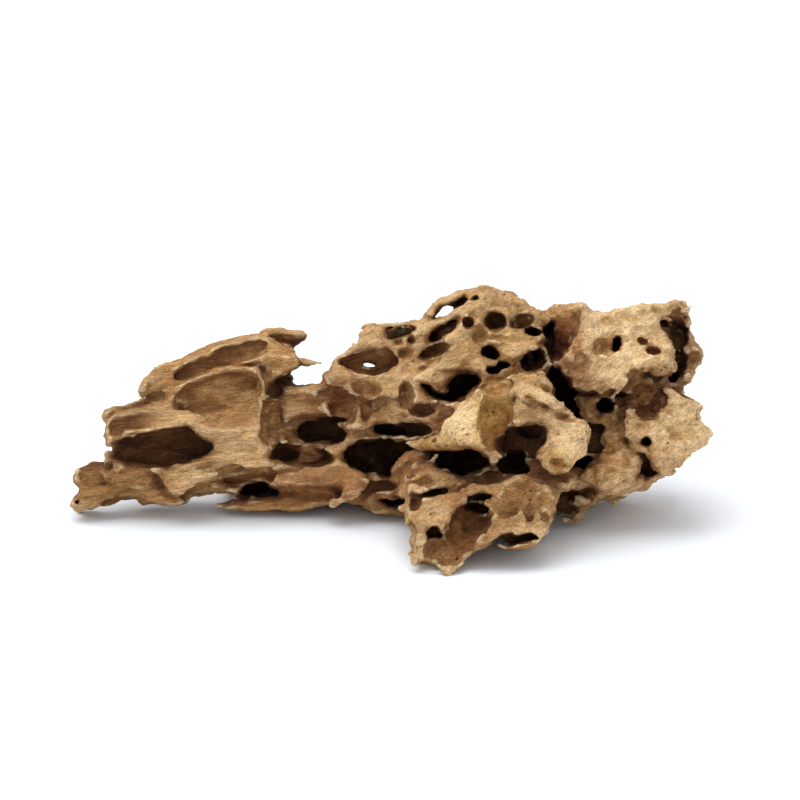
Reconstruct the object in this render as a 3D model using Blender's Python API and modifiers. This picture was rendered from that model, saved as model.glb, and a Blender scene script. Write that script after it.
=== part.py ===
"""Honeycomb wood: an eroded, holey piece of driftwood that grew as one piece, lying on Z = 0.

The forms are drawn as they are seen from the front, in millimetres: across to the right, up in
the view, and deep away from the viewer, who looks down by VIEW_TILT. Slabs, lumps and strands are
fused into one mass, hollows are cut out of it, and shallow scoops follow the surface that is
left. The lump is then turned level, thinned to few triangles and cut flat where it rests.
"""
import math
import random
from collections import namedtuple

import bmesh
import bpy
import numpy as np
from mathutils import Matrix, Vector, noise
from mathutils.bvhtree import BVHTree

LENGTH = 0.300              # real length of the lump, metres
DRAWN_LENGTH = 300          # the same length as it is drawn below
MM = LENGTH / DRAWN_LENGTH  # one drawn millimetre, metres
VIEW_TILT = math.radians(18)
GRAIN = 1.6                 # smallest form that the skin holds, millimetres
TRIANGLES = 9200            # aim for the finished lump
SOLVER = "MANIFOLD"         # the exact solver loses most of the lump on these uneven skins

WELD = 0.00001              # gap that a curve's loose caps are welded over, metres
NOISE_SEED = 7              # without it the cells of shell_pattern shift in each run
SMOOTHING = 0.3             # how far a pass of smoothing draws the skin to its mean
WINDOW_REACH = 200          # how far an opening's cutter runs towards the viewer, millimetres
FACE_DEPTH = 62             # cells stay behind this depth, clear of the drawn faces, millimetres
TO_VIEWER = Vector((0, -1, 0))
FACING = -0.12              # a normal's deep part below this turns towards the viewer
RAY_LIFT = 0.0003           # start of a ray above its surface, metres
WEIGHT_STEPS = 10           # steps of the hidden sides' weights
CORE_LUMPINESS = ((24, 10, 0.6), (9, 4, 0.5))    # size and height in millimetres, level
FACE_LUMPINESS = ((14, 4.5, 0.6), (5, 1.6, 0.5))
SCOOP_PROBE = 0.5           # how far apart a scoop's surface is felt for, millimetres
SCOOP_SPREAD = 1.12         # a scoop's ball over the dip that it leaves
SCOOP_ROUNDNESS = 1.2       # least radius of that ball over the dip's depth
CELL_STRETCH = (1.2, 2.4)   # length of a hidden side's cell over its radius, least and most
CELL_SQUASH = (0.6, 1.0)    # its height over its radius
CELL_ROLL = 18              # its turn either way, degrees
WALL_WAVES = (5, 1.3)       # size and height of the waves in a hollow's walls, millimetres
GRAIN_STRETCH = 1.6         # how much longer a weathered cell is along the grain
SHELLS = ((20, 6.0), (9, 2.8))  # size and height of the weathered cells, millimetres
CELL_RIM = 0.8              # a cell's half width, as a share of its size
CELL_WARP = (1.7, 0.28)     # how fine and how far a weathered cell's ridges wander, in cells
SHELL_LEVEL = 0.45          # the pattern's usual height, so that it lifts and sinks alike
BACK_SHARE = 0.6            # how much of that height the hidden sides get
BACK_SHRINK = 0.9           # how far they are drawn in, to keep the outline, millimetres
ROUGHEN_REACH = 4           # how soon the hidden sides' weathering takes over, millimetres
EDGE_ROUNDING = 3           # how far in a plate's edge bends back, millimetres
EDGE_DROP = 7               # how far back a thin edge is drawn at most, twice over, millimetres

DRY_WOOD = "B08A5E"
ROUGHNESS = 0.85

Slab = namedtuple("Slab", "name front back rounding lean_right lean_up outline", defaults=(0, 0, ()))
Lump = namedtuple("Lump", "name centre radii roll", defaults=(0,))
Window = namedtuple("Window", "name floor rounding outline")
Hollow = namedtuple("Hollow", "name centre floor radii roll", defaults=(0,))
Strand = namedtuple("Strand", "name points")
Cells = namedtuple("Cells", "name seed count look middle half radii dig long")

# Slabs of the mass behind the faces, whose outlines are the outline of the lump.
CORE_SLABS = [
    Slab("wing_core", front=70, back=98, rounding=6, outline=[
        (-132, 54), (-132.8, 60), (-131, 72), (-118, 81), (-104, 86), (-84, 97), (-66, 98), (-56, 90),
        (-50, 84), (-46, 60), (-46, 44), (-60, 38), (-90, 39), (-112, 40), (-124, 46)]),
    Slab("bridge_body", front=65, back=106, rounding=4, lean_right=-0.1, outline=[
        (-62, 46), (-62, 84), (-52, 88), (-40, 88.5), (-30, 89.5), (-10, 92), (14, 90), (14, 32),
        (-10, 30), (-24, 35), (-40, 38), (-60, 40)]),
    Slab("slot_back", front=80, back=98, rounding=2, outline=[
        (10, 104), (12, 113), (20, 117.5), (30, 119), (38, 122), (44, 116), (40, 104)]),
    Slab("roof_back", front=84, back=104, rounding=2.5, outline=[
        (-12, 100), (-12, 114.6), (-8, 116), (-3, 116.6), (4, 117), (10, 116.8), (15, 117), (24, 120.4),
        (30, 121.6), (40, 121), (40, 100), (10, 96)]),
    Slab("wing_end_back", front=78, back=98, rounding=2, outline=[
        (-62, 78), (-62, 92), (-56, 94), (-50, 92.4), (-47, 90), (-48, 86), (-50, 80)]),
    Slab("upper_left", front=54, back=94, rounding=2.5, lean_right=-0.14, lean_up=0.2, outline=[
        (-33, 91.5), (-29.7, 94.5), (-28, 97), (-27.6, 100.5), (-25, 102.2), (-21, 103.4), (-20, 106),
        (-18.4, 108.2), (-16.6, 109), (-16.4, 111.5), (-14.5, 114.3), (-12, 115.9), (-8, 117),
        (-3, 117.3), (4, 117.8), (10, 117.7), (15, 118.4), (22, 119), (28, 122), (34, 124), (44, 118),
        (40, 92), (20, 84), (0, 80), (-20, 82), (-30, 88)]),
    Slab("upper_middle", front=44, back=98, rounding=3.5, lean_up=0.2, outline=[
        (28, 122), (31, 126), (36, 130), (43, 133), (49, 133.2), (54, 132.6), (56, 131.8), (58.4, 130),
        (63.6, 128), (63.6, 125), (66, 124.2), (70.6, 122.6), (75, 119), (77, 98), (70, 86), (54, 82),
        (36, 86), (20, 92), (24, 110)]),
    Slab("right_back", front=54, back=100, rounding=3, lean_up=0.1, outline=[
        (64, 119), (68, 122), (72, 122.8), (76, 125.6), (80, 125.2), (86, 125.4), (89.6, 124.2),
        (93, 121.2), (110, 123), (132, 124), (141.5, 120), (139.8, 113), (141, 107.6), (143.6, 105),
        (145.4, 103), (144.6, 99.6), (140.3, 97), (141, 93), (139.6, 89.6), (133, 87.4), (127, 86),
        (120, 78), (80, 78), (66, 90)]),
    Slab("right_mass", front=46, back=106, rounding=4, outline=[
        (82, 84), (110, 86), (131.5, 83), (141, 74.4), (141, 60), (130, 47.8), (123.4, 43), (118, 39.8),
        (112, 38), (107.8, 34.6), (106.4, 31), (104.4, 30.8), (102, 33.8), (98, 34.4), (95, 33.8),
        (91, 32), (84, 29.6), (76, 34), (72, 50), (74, 70)]),
    Slab("right_foot", front=56, back=88, rounding=1.6, outline=[
        (75, 38), (73.4, 30.4), (74.4, 28.4), (77.6, 26.4), (78.8, 25), (78.9, 23), (80.6, 21.9),
        (86.4, 22.2), (88.2, 25), (90, 27.6), (95, 34)]),
    Slab("front_neck", front=26, back=72, rounding=5, lean_up=0.25, outline=[
        (2, 30), (4, 46), (10, 54), (26, 56), (44, 57), (60, 56), (80, 52), (86, 44), (80, 35),
        (69, 30), (30, 24), (10, 26)]),
    Slab("low_middle", front=68, back=88, rounding=1.6, outline=[
        (-22, 33), (-15.6, 27), (-10, 25.9), (0, 26.8), (9, 26.4), (16, 29), (16, 44), (-10, 44)]),
    Slab("bottom_blade", front=72, back=92, rounding=1.2, outline=[
        (-84.4, 30.4), (-79, 31.4), (-73, 32.6), (-67, 34.6), (-50, 36.4), (-40, 38.4), (-20, 39.4),
        (-18, 31.8), (-30, 30.6), (-42, 28.9), (-52, 28), (-58, 27.6), (-64, 27.7), (-70, 28.8),
        (-77, 29.8)]),
    Slab("gap_back", front=84, back=120, rounding=2, outline=[
        (-82, 39), (-76, 36.4), (-71.6, 33), (-50, 32), (-16, 32), (-16, 50), (-44, 54), (-80, 52)]),
    Slab("window_back", front=92, back=116, rounding=4, outline=[
        (-24, 36), (-14, 34), (26, 37), (34, 46), (34, 70), (-50, 78), (-56, 56)]),
    Slab("bottom_lump", front=67, back=90, rounding=2, outline=[
        (-118.4, 34.8), (-118.4, 33), (-116.6, 31.9), (-112, 31.6), (-107, 30.6), (-102.6, 30.2),
        (-98.4, 30.9), (-94.4, 32.9), (-90.3, 35.5), (-86, 36.4), (-80, 36.7), (-75, 37), (-73, 36),
        (-66, 36), (-58, 42), (-60, 48), (-80, 46), (-100, 43), (-112, 41), (-116, 38)]),
    Slab("upper_prong", front=67, back=86, rounding=1.6, outline=[
        (-150.6, 44.5), (-150, 48), (-147, 50.6), (-141, 52), (-137, 53.8), (-133, 56.6), (-126, 58),
        (-105, 54), (-98, 48), (-104, 39.4), (-118, 40.3), (-139, 40.3), (-148.4, 40.4), (-150.2, 42)]),
    Slab("lower_prong", front=68, back=88, rounding=1.2, outline=[
        (-148.4, 40.6), (-147.4, 38.4), (-148.4, 36.6), (-150.6, 35.2), (-152, 33), (-151.8, 30.3),
        (-149.5, 27.6), (-147.7, 26.6), (-145.8, 28.2), (-142, 29), (-134, 31.4), (-128, 34),
        (-122, 35.7), (-116, 36.2), (-104, 36), (-98, 46), (-118, 41.2), (-140, 41.2)]),
]

# Lumps that fill the mass between and behind the slabs.
CORE_LUMPS = [
    Lump("core", (40, 84, 76), radii=(56, 34, 34), roll=10),
    Lump("right_core", (103, 80, 78), radii=(33.5, 38, 36)),
    Lump("back_low", (66, 56, 92), radii=(50, 26, 30)),
    Lump("back_left", (-16, 66, 96), radii=(56, 24, 16), roll=6),
]

# Openings cut into the mass before the faces are laid in front of them.
DEEP_WINDOWS = [
    Window("dark_scoop", floor=77, rounding=4, outline=[
        (-136, 61), (-122, 64.5), (-112, 66), (-98, 67.7), (-95, 67), (-90, 62), (-84, 59.5),
        (-83.8, 57.5), (-92, 54), (-100, 51.5), (-108, 50.3), (-118, 51.3), (-130, 53.5), (-136, 57)]),
    Window("window_left", floor=95, rounding=2, outline=[
        (-44.5, 65), (-44, 62.5), (-42, 60.5), (-38, 60), (-30, 60.3), (-24, 61), (-21.5, 64),
        (-20.5, 66), (-24, 68.5), (-28, 70.2), (-34, 70.8), (-40, 70), (-43, 68)]),
    Window("window_left_slot", floor=96, rounding=0.6, outline=[
        (-36, 72.6), (-30, 73), (-20, 71.8), (-18.5, 70), (-24, 70.6), (-30, 71.4)]),
    Window("bridge_scoop", floor=78, rounding=2.5, outline=[
        (-58, 53), (-56, 58), (-55, 60.3), (-50, 60), (-45, 59.3), (-38, 58.3), (-32, 57),
        (-28.5, 54.5), (-29, 51.5), (-33, 50), (-40, 49.3), (-48, 50), (-53, 51.3)]),
    Window("window_big", floor=98, rounding=3, outline=[
        (-22.5, 56), (-20, 59), (-14, 61), (-8, 62.3), (0, 62.5), (5, 61), (10, 58), (11, 56.5),
        (8, 54), (4, 51), (2, 49), (0.5, 47.5), (0.5, 45), (-1, 43.5), (-5, 44), (-7, 46.5),
        (-12, 47.3), (-17, 49), (-20, 51), (-22, 54)]),
    Window("window_small", floor=98, rounding=1, outline=[
        (-9.5, 66.7), (-6, 69.2), (0, 69.6), (5, 67), (8, 64.5), (3, 64), (-4, 64.6), (-8, 65.8)]),
    Window("roof_hollow", floor=92, rounding=1, outline=[
        (-4.5, 110), (-4, 109), (1, 108.4), (5, 109.5), (9, 112), (12.4, 114.4), (11, 115.6),
        (5, 115.9), (-1, 115.2), (-4, 114.4), (-3, 112)]),
    Window("long_trough", floor=63, rounding=3.5, outline=[
        (-25.4, 99.2), (-23, 100.6), (-19.6, 102), (-14, 103.2), (-8, 104.4), (-2.8, 105.2), (0.4, 103),
        (2.8, 99.4), (0.8, 96.2), (-3, 94), (-8.4, 92.8), (-14, 93.4), (-18, 94.6), (-22.4, 96.4),
        (-25.2, 97.4)]),
    Window("deep_slot", floor=89, rounding=1.5, outline=[
        (16.5, 109.5), (17, 108), (19.5, 107.8), (23, 109.5), (27, 111.5), (30, 114), (32, 117),
        (31.5, 120), (29, 120.5), (26, 117), (22, 114.5), (18.5, 112.5)]),
    Window("overhang_hollow", floor=92, rounding=2, outline=[
        (13, 89), (15, 85.5), (18, 83), (20, 81.5), (25, 80.3), (30, 80.5), (35, 83), (40, 87),
        (42, 90), (40, 93), (30, 95), (20, 93)]),
    Window("low_hole", floor=84, rounding=1, outline=[
        (42.5, 104.5), (44, 105.4), (47, 105.4), (49.2, 103), (49.2, 100.6), (47, 99.8), (44, 101.3),
        (42.5, 103)]),
    Window("square_hole", floor=80, rounding=0.8, outline=[
        (70.3, 110), (70, 114), (71.5, 116.5), (75, 117.4), (75.3, 111), (73, 109.8)]),
    Window("dark_wall", floor=60, rounding=2, outline=[
        (71, 108.5), (75, 110), (75, 118), (80, 122), (85, 124), (89, 121), (90, 108), (86, 100),
        (80, 96), (75, 97.5), (73, 101), (71.5, 104)]),
    Window("cleft", floor=90, rounding=1.5, outline=[
        (72.5, 91), (75, 97.8), (78, 96.5), (82, 92), (86, 87), (94, 86), (98, 84), (90, 80), (89, 75),
        (91.5, 70.5), (90.5, 68.5), (88, 70), (85, 74), (82, 77), (80, 79.5), (76, 82), (73, 86.5)]),
    Window("under_hole_left", floor=84, rounding=2, outline=[
        (19, 53), (24, 56), (28, 58), (33, 59), (38, 58), (42, 56), (46, 52), (44, 50.3), (40, 48),
        (35, 46), (33, 45.3), (30, 47), (27, 48), (22, 50)]),
    Window("under_hole_mid", floor=78, rounding=1.5, outline=[
        (49, 51), (51, 53.5), (55, 55.5), (60, 55), (62, 52), (62.5, 49), (65, 47.5), (61, 46.5),
        (56, 46.7), (52, 46.5), (50, 48)]),
    Window("under_hole_right", floor=78, rounding=1.2, outline=[
        (82, 53), (86, 55.5), (89, 55), (92, 54.3), (94.7, 53), (94, 50.5), (91.5, 49.5), (90.3, 47.3),
        (88, 48), (85, 50)]),
    Window("right_recess", floor=58, rounding=1.5, outline=[
        (90, 70), (94, 69), (98, 68), (97.5, 65), (96.5, 61), (98.5, 57), (97, 55), (92, 56), (88, 58),
        (88, 66)]),
    Window("black_gap", floor=97, rounding=0.8, outline=[
        (-73.5, 36.6), (-70, 40), (-65, 42), (-60, 41.5), (-57, 39.3), (-57, 38.6), (-62, 36.4),
        (-66, 36)]),
    Window("low_right_dark", floor=88, rounding=1, outline=[
        (-9, 33.2), (-6, 35.3), (8, 36.5), (8, 31), (0, 30.6)]),
]

# Rounded hollows cut into the mass, some wider inside than their openings.
DEEP_HOLLOWS = [
    Hollow("cavity_left", (-33, 66.5), floor=99, radii=(19, 7.5, 10)),
    Hollow("cavity_big", (-4, 53.5), floor=101, radii=(19, 11, 13)),
    Hollow("cavity_small", (2, 67), floor=100, radii=(10, 4, 14)),
    Hollow("cavity_neck", (36, 52), floor=88, radii=(20, 9, 22)),
    Hollow("cavity_cleft", (82, 84), floor=94, radii=(7, 9, 22), roll=-30),
    Hollow("window_left_funnel", (-37.5, 66), floor=80, radii=(15.5, 8.4, 17)),
    Hollow("bridge_scoop_dark", (-50, 54.8), floor=88, radii=(8.4, 4.3, 24)),
    Hollow("window_small_dish", (10, 66.8), floor=70, radii=(9, 3.5, 16), roll=-3),
    Hollow("wing_end_channel", (-55.5, 69), floor=74, radii=(4.6, 13, 12), roll=-4),
    Hollow("wing_end_upper", (-55.5, 86), floor=75, radii=(4, 4.4, 7), roll=20),
    Hollow("bridge_face_a", (-40, 80), floor=68.5, radii=(12, 5, 8), roll=-10),
    Hollow("bridge_face_b", (-25, 81), floor=69.5, radii=(9, 8, 9)),
    Hollow("round_pit", (48.2, 117.3), floor=60, radii=(5.3, 4.7, 16)),
    Hollow("under_upper", (119.5, 82), floor=52, radii=(8.4, 9.5, 12)),
    Hollow("round_neighbour", (107, 80.5), floor=64, radii=(4.8, 4.2, 24)),
    Hollow("under_plate_dark", (120, 51), floor=60, radii=(7, 6, 14), roll=-20),
    Hollow("under_plate_left", (111, 58), floor=56, radii=(4.5, 9, 12), roll=25),
    Hollow("low_hole_a", (81, 35.8), floor=68, radii=(4.8, 3.7, 26), roll=10),
    Hollow("low_hole_b", (80.5, 29.4), floor=76, radii=(6.2, 3.2, 20), roll=-10),
    Hollow("low_hole_c", (92, 37.4), floor=58, radii=(3.2, 2.7, 12)),
    Hollow("low_hole_d", (95.2, 33.2), floor=66, radii=(2.5, 2.3, 18)),
    Hollow("low_hole_e", (103, 34), floor=70, radii=(5, 2.6, 24)),
    Hollow("right_cavity_a", (128.5, 116.5), floor=72, radii=(6, 3.6, 26), roll=-20),
    Hollow("right_cavity_b", (134, 111), floor=68, radii=(5, 7.5, 14)),
    Hollow("right_cavity_c", (134, 99), floor=68, radii=(4.5, 6.5, 14), roll=10),
    Hollow("right_hole", (132.2, 91), floor=84, radii=(3.5, 3.2, 40)),
]

# Thin blades, ledges and crusts that stand in front of the mass.
FACE_SLABS = [
    Slab("left_shard", front=57, back=76, rounding=1, lean_right=0.05, lean_up=0.3, outline=[
        (-134, 58), (-133.3, 61), (-135.3, 65), (-133.5, 70), (-130.5, 74), (-128, 75.3), (-122, 76.7),
        (-115, 78.5), (-108, 80.5), (-101.5, 82), (-99.5, 80.5), (-95, 77), (-89, 73.3), (-86.7, 72),
        (-88, 70.5), (-92, 69.4), (-98, 68), (-106, 67), (-112, 66.5), (-120, 65.3), (-126, 64),
        (-131, 61.8)]),
    Slab("middle_face", front=58.5, back=76, rounding=1.2, lean_up=0.08, outline=[
        (-116, 48.5), (-112, 49.8), (-104, 50.3), (-98, 51.8), (-92, 54), (-86, 56.5), (-83.5, 58.3),
        (-84, 59.8), (-90, 62.6), (-96, 68.2), (-100, 72), (-104, 79), (-107.5, 85), (-100, 88),
        (-90, 92), (-80, 95.3), (-70, 96.5), (-63, 97), (-60.5, 91), (-59, 86), (-58.6, 82),
        (-59.5, 78), (-62, 71), (-61, 68), (-62.5, 64), (-60, 60), (-56, 58), (-58, 54), (-57, 52.5),
        (-54, 50), (-60, 48.5), (-70, 47), (-80, 44.8), (-85, 43), (-91, 41), (-94, 38), (-98, 36),
        (-102, 35.4), (-105, 37), (-106.7, 41), (-108, 44), (-112, 46.7)]),
    Slab("top_blade", front=68, back=88, rounding=1.2, lean_up=0.35, outline=[
        (-119.6, 82), (-119.6, 86.4), (-117.8, 90.6), (-115.2, 94.2), (-111, 97), (-107, 98.6),
        (-100, 100.6), (-93, 103.3), (-85, 106.2), (-82, 107.8), (-76, 109.3), (-74, 110.7),
        (-70, 111.7), (-64, 113.5), (-62, 112.8), (-57, 109.5), (-53, 107), (-50, 106), (-46.4, 105.8),
        (-44.4, 104), (-44, 100.5), (-43, 99.5), (-43, 95.8), (-45.6, 94.4), (-48.6, 92.8), (-53, 92),
        (-57, 88.5), (-58, 85), (-61, 83), (-63, 88), (-66, 95.6), (-75, 95.5), (-80, 94.5), (-90, 91),
        (-100, 87), (-107, 85), (-112, 83.5)]),
    Slab("back_tip", front=86, back=95, rounding=1.2, outline=[
        (-68, 108), (-64, 113.3), (-58, 115.6), (-50, 113.4), (-42.6, 113.9), (-40.4, 111),
        (-43, 108.5), (-46.6, 105.3), (-54, 102), (-64, 102)]),
    Slab("grey_plate", front=66, back=90, rounding=1.5, lean_up=0.1, outline=[
        (-137.4, 72.8), (-134.8, 76.2), (-130.6, 78.4), (-126, 80), (-122.6, 81.2), (-120.4, 84),
        (-114, 91), (-104, 92), (-98, 84), (-100, 78), (-120, 70), (-130, 67), (-134, 68.8)]),
    Slab("low_spike", front=80, back=90, rounding=0.9, outline=[
        (-58, 88), (-53, 92), (-50, 93.3), (-47, 92), (-45.2, 90.7), (-46, 90), (-49, 89), (-52, 86.5),
        (-55, 83), (-60, 83)]),
    Slab("bridge_lower_plate", front=61, back=80, rounding=0.9, lean_right=-0.08, outline=[
        (-65, 42.5), (-60, 46), (-50, 47.5), (-40, 49), (-34, 49.6), (-28, 51.3), (-26, 54), (-22, 52),
        (-19, 49.5), (-13, 46.8), (-10, 43), (-12, 38.5), (-22, 38.6), (-30, 39.8), (-45, 39.5),
        (-57, 39.2), (-59, 41)]),
    Slab("foot_tab", front=57, back=72, rounding=0.9, lean_right=-0.1, outline=[
        (-29.5, 31), (-28.5, 35), (-25, 36.2), (-23, 37.5), (-22, 41), (-14, 44.5), (-9, 43), (-13, 38),
        (-14, 35), (-18, 33), (-24, 31), (-28, 30.3)]),
    Slab("curly_crest", front=57, back=72, rounding=0.8, lean_right=-0.08, outline=[
        (-23.5, 68), (-21, 69.2), (-18, 70.7), (-16.8, 73), (-16.5, 77), (-16, 79.8), (-14.6, 80),
        (-13.8, 77.5), (-13.8, 74), (-14.5, 72), (-13, 71), (-11.7, 71.3), (-10.7, 73.7), (-9, 76),
        (-7.2, 77.2), (-5.5, 76.3), (-3, 75.3), (-0.5, 76.2), (0.8, 78), (1.5, 80.5), (3.2, 80),
        (3.2, 76.5), (1.5, 73.5), (-2, 71.5), (-5, 70), (-9.5, 68), (-11, 66.4), (-14, 66), (-20, 66.3)]),
    Slab("slope_plate", front=44, back=62, rounding=1, lean_right=0.25, lean_up=-0.3, outline=[
        (9.5, 90.5), (13, 93.5), (20, 98), (26, 101.5), (34, 107.5), (39, 107), (44, 101), (44, 96),
        (36, 93), (30, 91.3), (26.3, 88.7), (24.5, 85), (22, 83.3), (20.3, 84.5), (18.5, 87),
        (15, 88.5)]),
    Slab("shelf", front=38, back=56, rounding=1, lean_up=0.1, outline=[
        (40, 107), (43, 108.5), (50, 109.5), (56, 108), (64, 108), (67.5, 107), (69.2, 105),
        (67.5, 103.5), (65, 103), (62, 101.5), (60, 100.5), (58, 100), (57, 97.5), (56, 96.3), (55, 99),
        (53, 100.7), (49.3, 101.2), (49.6, 104.3), (47, 106)]),
    Slab("nose", front=16, back=52, rounding=1.6, lean_up=0.3, outline=[
        (24, 66), (27, 71.5), (30, 75.5), (33, 77.5), (37, 79.5), (41, 83.5), (45, 88.5), (52, 91),
        (60, 93), (70, 94), (74, 88), (76, 80), (84, 75.3), (84.5, 72.5), (86.5, 71), (89, 70.3),
        (90.5, 67.5), (91.6, 64), (91, 60), (90, 57), (88.5, 56), (86, 54.6), (84, 53.3), (83, 51),
        (81.5, 48), (79, 46.3), (76, 45.8), (72, 46.6), (69, 49), (66, 52), (60, 54), (54, 54.5),
        (50, 53), (47, 50.8), (44, 54), (40, 57.6), (34, 59.3), (30, 60), (26, 62)]),
    Slab("nose_blade", front=11, back=30, rounding=1, lean_up=0.2, outline=[
        (55.5, 85.5), (58, 86.7), (61, 88.6), (64, 88), (67, 86.2), (71, 83.9), (75, 82.2), (78, 80.7),
        (79.8, 79), (79.4, 77), (77.5, 75.7), (75, 75.2), (72, 75.8), (68, 77.3), (64, 79.3),
        (60, 80.8), (57, 82)]),
    Slab("hook", front=12, back=30, rounding=1, lean_up=0.1, outline=[
        (53, 67), (54.5, 71), (55, 75), (55.5, 80), (60, 80), (66, 77), (72, 75), (77, 73), (78, 68),
        (75, 60), (72.5, 61), (72.5, 66), (70.5, 69), (66, 70.3), (60, 69.2), (56, 68.6)]),
    Slab("knob", front=11, back=36, rounding=3.2, lean_up=0.1, outline=[
        (74, 73.5), (78, 76), (81, 76.3), (83.5, 75.4), (84.6, 72.6), (86.6, 71.2), (89, 70.4),
        (90.6, 67.6), (91.6, 64), (91.1, 60), (90, 57), (88.5, 56), (86, 54.7), (84, 53.4), (83, 51),
        (81.5, 48), (79, 46.4), (76, 45.9), (72, 46.7), (69, 49), (67, 52), (67, 54), (69, 57),
        (72, 60.5), (73, 64), (73, 69)]),
    Slab("front_lobe", front=5, back=46, rounding=1.8, lean_up=0.42, outline=[
        (6, 26), (7, 22), (9, 20), (8, 16), (8.5, 13.5), (10, 12), (8, 9), (7.7, 6), (9.5, 4),
        (14, 4.8), (20, 4.6), (21.5, 1.5), (24.5, -0.8), (26, -0.8), (29, 1), (33, 5), (37, 10.2),
        (41, 13.4), (46, 14.6), (50, 13.2), (55, 12.2), (60, 12.8), (65, 13.8), (68, 15), (71.5, 19),
        (73.5, 24), (74.5, 29), (76.5, 35), (74, 42), (64, 46), (57, 47.3), (50, 43.5), (40, 42),
        (30, 38), (22, 37), (17, 39), (10, 41), (8, 34), (6.5, 29)]),
    Slab("hood_tooth", front=11, back=24, rounding=0.8, lean_up=0.42, outline=[
        (39, 40.4), (43.6, 41.4), (47, 41.2), (52.6, 42.6), (50.8, 38.6), (48.6, 34.4), (47.6, 32.4),
        (46.2, 34.4), (44.8, 37.6), (42.6, 39.4)]),
    Slab("right_upper", front=35, back=60, rounding=1.2, lean_right=0.2, lean_up=0.12, outline=[
        (75, 98), (79, 100.5), (81, 103), (82.5, 108), (86, 112), (86.5, 115), (87, 121), (84.5, 124),
        (87.4, 125.9), (90.2, 124.8), (93.2, 121.6), (100, 121.9), (105, 123.8), (110, 124),
        (116, 126.2), (121, 125.4), (125, 126.4), (133, 128.1), (139, 127.5), (141.5, 124.6),
        (140.4, 121), (133, 120), (126, 119.5), (124, 116.5), (126, 113.5), (129, 109), (131, 105),
        (130, 99), (131.5, 96), (131, 93.5), (128, 92.5), (124, 92.2), (120, 95.5), (114, 92),
        (108, 88), (108, 85.5), (106, 84.8), (104, 83.5), (102, 81), (100, 80.4), (98, 82), (95, 84.4),
        (90, 84.2), (86, 85), (83, 86.5), (81.5, 90), (79, 92.5), (77, 96)]),
    Slab("cliff", front=47, back=68, rounding=1, lean_right=-1.3, outline=[
        (74.6, 98), (78, 97), (82, 99), (85, 103), (88, 110), (89, 121.4), (86, 123.8), (81, 122.4),
        (77, 122), (75.6, 118), (75.8, 110), (74.4, 104)]),
    Slab("right_lower_plate", front=38, back=62, rounding=1.1, lean_right=0.24, lean_up=0.1, outline=[
        (107, 77), (109, 78), (112, 77.5), (114, 74.5), (118, 72), (121, 71.7), (123.5, 73),
        (124, 75.5), (126.5, 79), (127, 83), (126, 87), (129.4, 87.2), (132, 85.4), (135.4, 83.2),
        (139, 82), (143, 80.5), (146.3, 77), (144, 74), (145.5, 70), (147, 68.5), (150, 67),
        (150.7, 64.5), (148, 62), (145, 59), (140.8, 56.2), (137.9, 52.2), (135, 48.4), (131, 46.4),
        (128, 45.6), (124, 47), (121.5, 50), (120, 53), (119, 57), (116, 57.8), (112.5, 59.5),
        (109.5, 63), (108, 68), (107, 72)]),
    Slab("low_right_face", front=43, back=60, rounding=1.5, lean_up=0.05, outline=[
        (85, 82.6), (88, 85), (96, 84.6), (104, 83), (110, 82), (109, 76), (108, 66), (110, 60),
        (118, 54), (116, 48), (112, 42), (106, 37), (98, 36), (94, 41), (88, 42), (86, 46), (92, 50),
        (96, 55), (99, 58), (98, 64), (99, 68), (94, 69), (89, 70), (86, 74), (85, 79)]),
    Slab("low_right_arm", front=52, back=66, rounding=1.2, outline=[
        (84, 42), (90, 40), (94, 38), (98, 36), (97, 34), (95, 32), (91, 30.6), (87, 31.4), (83.5, 33),
        (86, 36)]),
]

# Slender strands and fingers, through points (across, up, deep, radius).
STRANDS = [
    Strand("spike", [
        (-50, 98, 76, 4.8), (-45, 98, 75, 4), (-41, 98, 74, 3), (-37.4, 98, 73.4, 2.2),
        (-33.4, 98.1, 73, 1.7)]),
    Strand("trough_ridge", [
        (-1.5, 105.6, 61, 1.6), (-5, 102.6, 62, 1.4), (-8, 99.8, 63, 1.2), (-10, 97, 64, 1)]),
    Strand("arch", [
        (15, 115, 60, 4), (16.9, 119.6, 60, 3), (19.3, 123, 60, 2.8), (23, 126.2, 60, 2.6),
        (28, 127.7, 60, 2.6), (33, 129.8, 60, 2.8), (38, 131.2, 60, 3), (44, 132, 60, 3),
        (47, 131.2, 60, 3)]),
    Strand("finger", [
        (3, 60, 34, 1.6), (8, 60.2, 31, 2.8), (16, 60.3, 28, 4), (26, 62, 24, 5.2), (36, 66, 24, 7)]),
    Strand("knob_small", [
        (63, 121, 66, 3), (64.6, 124.2, 66, 1.3)]),
    Strand("nose_crest", [
        (17.5, 80.3, 46, 1.4), (22, 79.3, 40, 1.8), (30, 78, 32, 2), (36, 79.5, 28, 2.4),
        (42, 84, 26, 2.6)]),
    Strand("twig_a", [
        (10.5, 57, 42, 1.3), (11, 53, 40, 1), (12, 48.5, 40, 0.7)]),
    Strand("twig_b", [
        (17, 47.5, 36, 0.8), (18, 44, 36, 1), (20.5, 39.5, 36, 0.8)]),
    Strand("twisted_bit", [
        (1, 46, 60, 1.5), (4, 50, 56, 3), (8, 53, 52, 3.6), (13, 54, 48, 3)]),
    Strand("wing_twig", [
        (-60.5, 83.5, 63, 0.9), (-57, 82.3, 64, 0.8), (-53, 80.8, 68, 0.6)]),
    Strand("nose_left_bulge", [
        (30, 66, 24, 7.5), (36, 69, 24, 7), (38, 62, 24, 5)]),
]

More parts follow.
